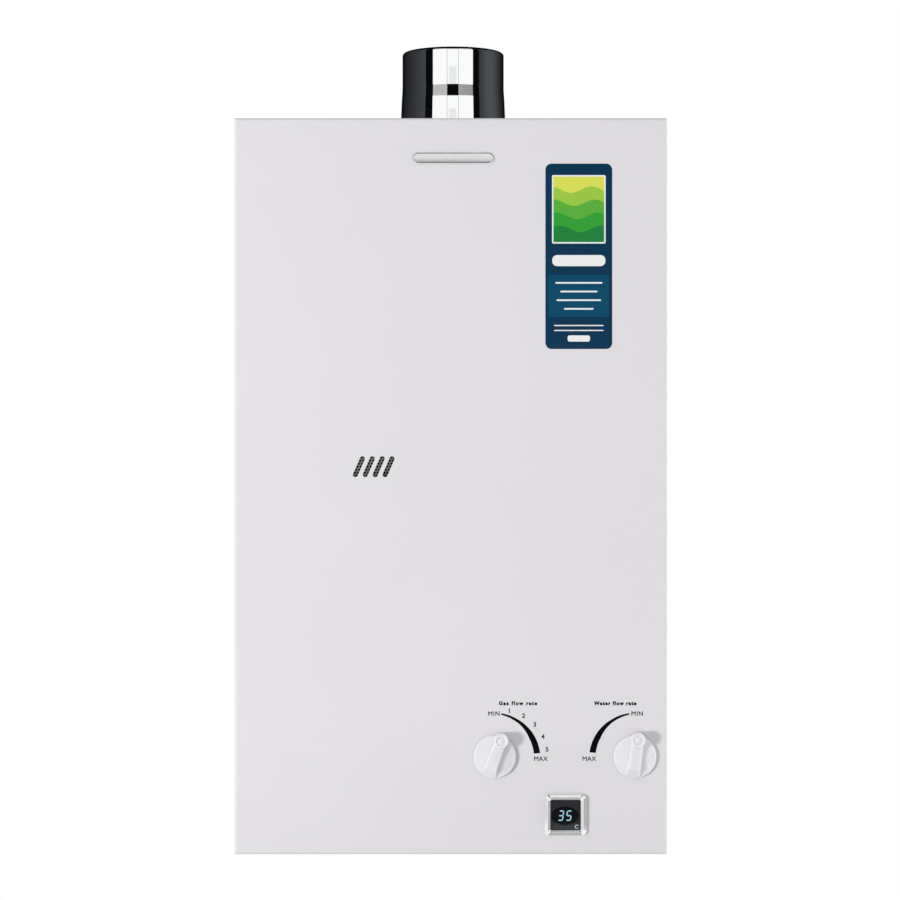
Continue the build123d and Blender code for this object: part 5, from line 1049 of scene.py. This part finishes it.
def build_fitting(node, x):
    """A brass connection: thread below, neck and collar above, bored right through."""
    low, high = node_box(node)
    collar_low = node_box("bottom_plate")[0].z + BOTTOM_SHEET
    collar_high = collar_low + COLLAR_T
    thread_top = low.z + THREAD_END
    root = THREAD_R - THREAD_DEEP
    rings = turned([(BORE_R, high.z), (BORE_R, low.z + BORE_EDGE),
                    (BORE_R + BORE_EDGE, low.z), (root - THREAD_FOOT, low.z),
                    (root, low.z + THREAD_FOOT)], ROUND_SEGMENTS)
    rings += thread_rings(low.z + THREAD_START, thread_top)
    rings += turned([(NECK_R, thread_top + NECK_START), (NECK_R, collar_low),
                     (COLLAR_R - COLLAR_EDGE, collar_low), (COLLAR_R, collar_low + COLLAR_EDGE),
                     (COLLAR_R, collar_high - COLLAR_EDGE), (COLLAR_R - COLLAR_EDGE, collar_high),
                     (NECK_R, collar_high), (NECK_R, high.z)], ROUND_SEGMENTS)
    bm = solid(rings, Matrix.Translation((x, -CONNECTION_DEPTH, 0.0)), closed=True)
    stand_in(node + "_threaded", bm, node, "brass")


def nut_rings(low, high):
    """Rings of a hexagon nut whose corners are turned off at both ends, and its bore."""
    flat = NUT_FLATS / 2
    rings = []
    for share in NUT_LEVELS:
        height = low + (high - low) * share
        limit = flat - NUT_CORNER_CUT + NUT_CORNER_SLOPE * min(height - low, high - height)

        def nut_radius(turn):
            return min(flat / math.cos(math.radians(360 * turn % 60 - 30)), limit)

        rings.append(shaped_ring(nut_radius, NUT_SEGMENTS, height))
    bore = [(NUT_BORE_R + NUT_BORE_EDGE, high), (NUT_BORE_R, high - NUT_BORE_EDGE),
            (NUT_BORE_R, low + NUT_BORE_EDGE), (NUT_BORE_R + NUT_BORE_EDGE, low)]
    return rings + turned(bore, NUT_SEGMENTS)


def build_nuts():
    """The three nuts that clamp the connections under the bottom plate."""
    low, high = node_box("connection_nuts")
    bm = bmesh.new()
    for x in CONNECTIONS.values():
        skin(bm, nut_rings(low.z, high.z), Matrix.Translation((x, -CONNECTION_DEPTH, 0.0)), closed=True)
    stand_in("connection_nuts_turned", bm, "connection_nuts", "brass")


for connection, connection_x in CONNECTIONS.items():
    build_fitting(connection, connection_x)
build_nuts()


# Return spring

WIRE_R = 0.5
WIRE_SIDES = 12
SPRING_TURNS = 5
SPRING_STEPS = 36


def build_return_spring():
    """The coil on the flow rod, which the rod pushes shorter in use; here it is wound at its resting
    length, with a mesh of its own.
    """
    low, high = node_box("return_spring")
    _, depth, z = node_middle("return_spring")
    length = high.x - low.x
    coil_r = (high.z - low.z) / 2 - WIRE_R
    run = length - 2 * WIRE_R
    anchor = Vector((low.x, -depth, z))
    rings = []
    for step in range(SPRING_TURNS * SPRING_STEPS + 1):
        turn = 2 * math.pi * step / SPRING_STEPS
        out = Vector((0.0, math.cos(turn), math.sin(turn)))
        along = Vector((run / SPRING_TURNS / 2 / math.pi, -coil_r * out.z, coil_r * out.y))
        across = along.normalized().cross(out)
        middle = anchor + out * coil_r
        middle.x += WIRE_R + run * step / (SPRING_TURNS * SPRING_STEPS)
        rings.append([middle + out * u + across * v for u, v in circle(WIRE_R, WIRE_SIDES)])
    spring = stand_in("return_spring_wound", solid(rings), "return_spring", "zinc_steel",
                      sharp=ROUND_SHARP)
    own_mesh(spring)


build_return_spring()


# Stage, light and camera

CAMERA_PLACE = (-0.6, -2330.0, 29.3)
CAMERA_LENS = 106.8
CAMERA_SENSOR = 36.0
CAMERA_NEAR = 50.0
CAMERA_FAR = 50000.0
FLOOR_Z = -420.0
FLOOR_X = 1500.0
FLOOR_BACK = 280.0
FLOOR_FRONT = -1700.0
FLOOR_DARK = (0.84, 0.84, 0.84)
FLOOR_LIGHT = (0.86, 0.86, 0.86)
FLOOR_TONE_SCALE = 6.0
FLOOR_ROUGH = 0.9
FLOOR_LIFT = 0.44
WORLD_LIGHT = 0.60
KEY_PLACE = (-2200.0, -2500.0, -300.0)
KEY_SIZE = 500.0
KEY_POWER = 57.0
FILL_PLACE = (2400.0, -170.0, 0.0)
FILL_SIZE = 400.0
FILL_POWER = 25.0
OPAQUE_WHITE = (1.0, 1.0, 1.0, 1.0)
BLACK = 0.003
COOL_BELOW = 0.3
COOL = (0.92, 1.0, 1.12)
CARD_STEP = 2.0
CARD_R = 1500.0
CARD_INNER_R = CARD_R - 5.0
CARD_OUTER_R = CARD_R + 5.0
CARD_BACK_R = CARD_R + 10.0
CARD_TOP = 1600.0
# Foot and top of upright cards.
TALL = (430.0, CARD_TOP)
BAND = (690.0, 1010.0)
MIDDLE_BAND = (655.0, 1010.0)
SEAM = (430.0, 655.0)
LOW = (-350.0, 428.0)
DISPLAY = (-410.0, -150.0)
DISPLAY_CARD_R = 900.0
UNDER_OUTLINE = ((60.0, -320.0), (130.0, -320.0), (130.0, -200.0), (60.0, -200.0))
UNDER_GREY = 0.5
UNDER_LIFT = 1.0
LID_R = 1520.0
LID_SEGMENTS = 96
# Each upright card: stops of (angle to the right of the front, grey tone), foot and top, and radius.
CARDS = {
    "left_black": (((-64.0, BLACK), (-46.0, BLACK)), TALL, CARD_R),
    "right_black": (((45.0, BLACK), (60.0, BLACK)), TALL, CARD_R),
    "left_grey": (((-151.0, 0.006), (-108.0, 0.028), (-63.0, 0.06)), TALL, CARD_OUTER_R),
    "right_grey": (((59.0, 0.034), (84.0, 0.08), (100.0, 0.078), (134.0, 0.018), (151.0, 0.008)),
                   TALL, CARD_OUTER_R),
    "back": (((149.0, BLACK), (211.0, BLACK)), TALL, CARD_BACK_R),
    "band_left": (((-47.0, 0.5), (-13.0, 0.5)), BAND, CARD_OUTER_R),
    "band_middle": (((-13.5, BLACK), (12.0, BLACK)), MIDDLE_BAND, CARD_R),
    "band_right": (((11.5, 0.36), (46.0, 0.30)), BAND, CARD_OUTER_R),
    "seam_left": (((-14.0, 0.55), (-12.6, 0.55)), SEAM, CARD_INNER_R),
    "seam_right": (((11.2, 0.55), (12.6, 0.55)), SEAM, CARD_INNER_R),
    "seam_upper": (((-9.0, 0.85), (7.0, 0.85)), (543.0, 562.0), CARD_R),
    "seam_lower": (((-8.0, 0.86), (6.0, 0.86)), (586.0, 597.0), CARD_R),
    "low_left": (((-150.0, 0.12), (-90.0, 0.3), (-60.0, 0.8)), LOW, CARD_R),
    "low_right": (((60.0, 0.8), (90.0, 0.3), (150.0, 0.12)), LOW, CARD_R),
    "display_left": (((-80.0, 0.8), (-30.0, 0.8)), DISPLAY, DISPLAY_CARD_R),
    "display_right": (((30.0, 0.52), (80.0, 0.52)), DISPLAY, DISPLAY_CARD_R),
}


def make_card_tone():
    """Shows a card's own tones in reflections."""
    tree, _ = start_material("card_tone")
    tree.nodes.clear()
    tone = add_node(tree, "VertexColor", {})
    tone.layer_name = "tone"
    glow = add_node(tree, "Emission", {"Color": tone.outputs["Color"]})
    add_node(tree, "OutputMaterial", {"Surface": glow.outputs["Emission"]})


make_card_tone()


def set_card(name, bm):
    """Makes a studio card that is seen only in reflections."""
    bmesh.ops.scale(bm, vec=(MM, MM, MM), verts=bm.verts)
    card = link_mesh(name, bm)
    card.data.materials.append(FINISHES["card_tone"])
    for ray in ("camera", "diffuse", "transmission", "volume_scatter", "shadow"):
        setattr(card, "visible_" + ray, False)


def curved_card(name, stops, span, radius):
    """An upright card curved round the flue; its dark tones are a little cool."""
    bm = bmesh.new()
    tones = bm.verts.layers.float_color.new("tone")
    start, end = stops[0][0], stops[-1][0]
    steps = max(1, int(abs(end - start) / CARD_STEP))
    columns = []
    for step in range(steps + 1):
        turn = start + (end - start) * step / steps
        angle, grey = math.radians(turn), between(stops, turn)
        x, y = flue_x + radius * math.sin(angle), -flue_depth - radius * math.cos(angle)
        columns.append([bm.verts.new((x, y, height)) for height in span])
        for corner in columns[-1]:
            corner[tones] = (*(grey * part for part in (COOL if grey < COOL_BELOW else EVEN)), 1.0)
    for (a, b), (c, d) in zip(columns, columns[1:]):
        bm.faces.new((a, c, d, b))
    set_card(name, bm)


def flat_card(name, outline, height, grey):
    """A level card of one tone."""
    bm = bmesh.new()
    tones = bm.verts.layers.float_color.new("tone")
    corners = [bm.verts.new((x, y, height)) for x, y in outline]
    for corner in corners:
        corner[tones] = (grey, grey, grey, 1.0)
    bm.faces.new(corners)
    set_card(name, bm)


def set_cards():
    """Cards round the flue and beside the case, three for the display, and a lid over them all."""
    for name, (stops, span, radius) in CARDS.items():
        curved_card("card_" + name, stops, span, radius)
    flat_card("card_display_under", UNDER_OUTLINE, FLOOR_Z + UNDER_LIFT, UNDER_GREY)
    lid = [(flue_x + u, v - flue_depth) for u, v in circle(LID_R, LID_SEGMENTS)]
    flat_card("card_lid", lid, CARD_TOP, BLACK)


def seen_rays(tree):
    """One for rays that show the background: straight, in gloss and through glass."""
    path = add_node(tree, "LightPath", {})
    seen = path.outputs["Is Camera Ray"]
    for ray in ("Is Glossy Ray", "Is Transmission Ray"):
        either = add_node(tree, "Math", {0: seen, 1: path.outputs[ray]})
        either.operation = "MAXIMUM"
        seen = either.outputs["Value"]
    return seen


def make_floor_finish():
    """Pale and matt, lifted towards white for rays that show the background, and clear from below."""
    tree, shader = start_material("floor_pale")
    tone = tint(tree, noise(tree, FLOOR_TONE_SCALE), FLOOR_DARK, FLOOR_LIGHT)
    lift = add_node(tree, "Math", {0: seen_rays(tree), 1: FLOOR_LIFT})
    lift.operation = "MULTIPLY"
    feed(tree, shader, {"Base Color": tone, "Roughness": FLOOR_ROUGH, "Specular IOR Level": 0.0,
                        "Emission Color": OPAQUE_WHITE, "Emission Strength": lift.outputs["Value"]})
    side = add_node(tree, "NewGeometry", {})
    clear = add_node(tree, "BsdfTransparent", {})
    mix = add_node(tree, "MixShader", {"Fac": side.outputs["Backfacing"], 1: shader.outputs["BSDF"],
                                       2: clear.outputs["BSDF"]})
    feed(tree, tree.nodes["Material Output"], {"Surface": mix.outputs["Shader"]})


def set_floor():
    """A plain pale floor that keeps the object's shadow."""
    bm = bmesh.new()
    corners = ((-FLOOR_X, FLOOR_FRONT), (FLOOR_X, FLOOR_FRONT),
               (FLOOR_X, FLOOR_BACK), (-FLOOR_X, FLOOR_BACK))
    bm.faces.new([bm.verts.new((x * MM, y * MM, FLOOR_Z * MM)) for x, y in corners])
    floor = link_mesh("floor", bm)
    make_floor_finish()
    floor.data.materials.append(FINISHES["floor_pale"])


def set_world():
    """White to the camera, gloss and glass; a softer white as light."""
    world = bpy.data.worlds.new("studio")
    bpy.context.scene.world = world
    world.use_nodes = True
    tree = world.node_tree
    tree.nodes.clear()
    mix = add_node(tree, "MixShader", {"Fac": seen_rays(tree)})
    for socket, strength in ((1, WORLD_LIGHT), (2, 1.0)):
        background = add_node(tree, "Background", {"Color": OPAQUE_WHITE, "Strength": strength})
        feed(tree, mix, {socket: background.outputs["Background"]})
    add_node(tree, "OutputWorld", {"Surface": mix.outputs["Shader"]})


def set_lamp(name, place, size, power):
    """A soft round lamp aimed at the middle of the cover."""
    lamp = bpy.data.lights.new(name, "AREA")
    lamp.shape = "DISK"
    lamp.size = size * MM
    lamp.energy = power
    holder = link_object(name, lamp)
    holder.location = Vector(place) * MM
    aim = Vector((0.0, -FRONT_DEPTH, 0.0)) * MM - holder.location
    holder.rotation_euler = aim.to_track_quat("-Z", "Y").to_euler()
    holder.visible_glossy = False


def set_camera():
    """The photograph's viewpoint: straight on, a little above the middle."""
    lens = bpy.data.cameras.new("camera")
    lens.lens = CAMERA_LENS
    lens.sensor_width = CAMERA_SENSOR
    lens.clip_start = CAMERA_NEAR * MM
    lens.clip_end = CAMERA_FAR * MM
    holder = link_object("camera", lens)
    holder.location = Vector(CAMERA_PLACE) * MM
    holder.rotation_euler = (math.pi / 2, 0.0, 0.0)
    bpy.context.scene.camera = holder


set_cards()
set_floor()
set_world()
set_lamp("key", KEY_PLACE, KEY_SIZE, KEY_POWER)
set_lamp("fill", FILL_PLACE, FILL_SIZE, FILL_POWER)
set_camera()
bpy.context.scene.view_settings.view_transform = "Standard"
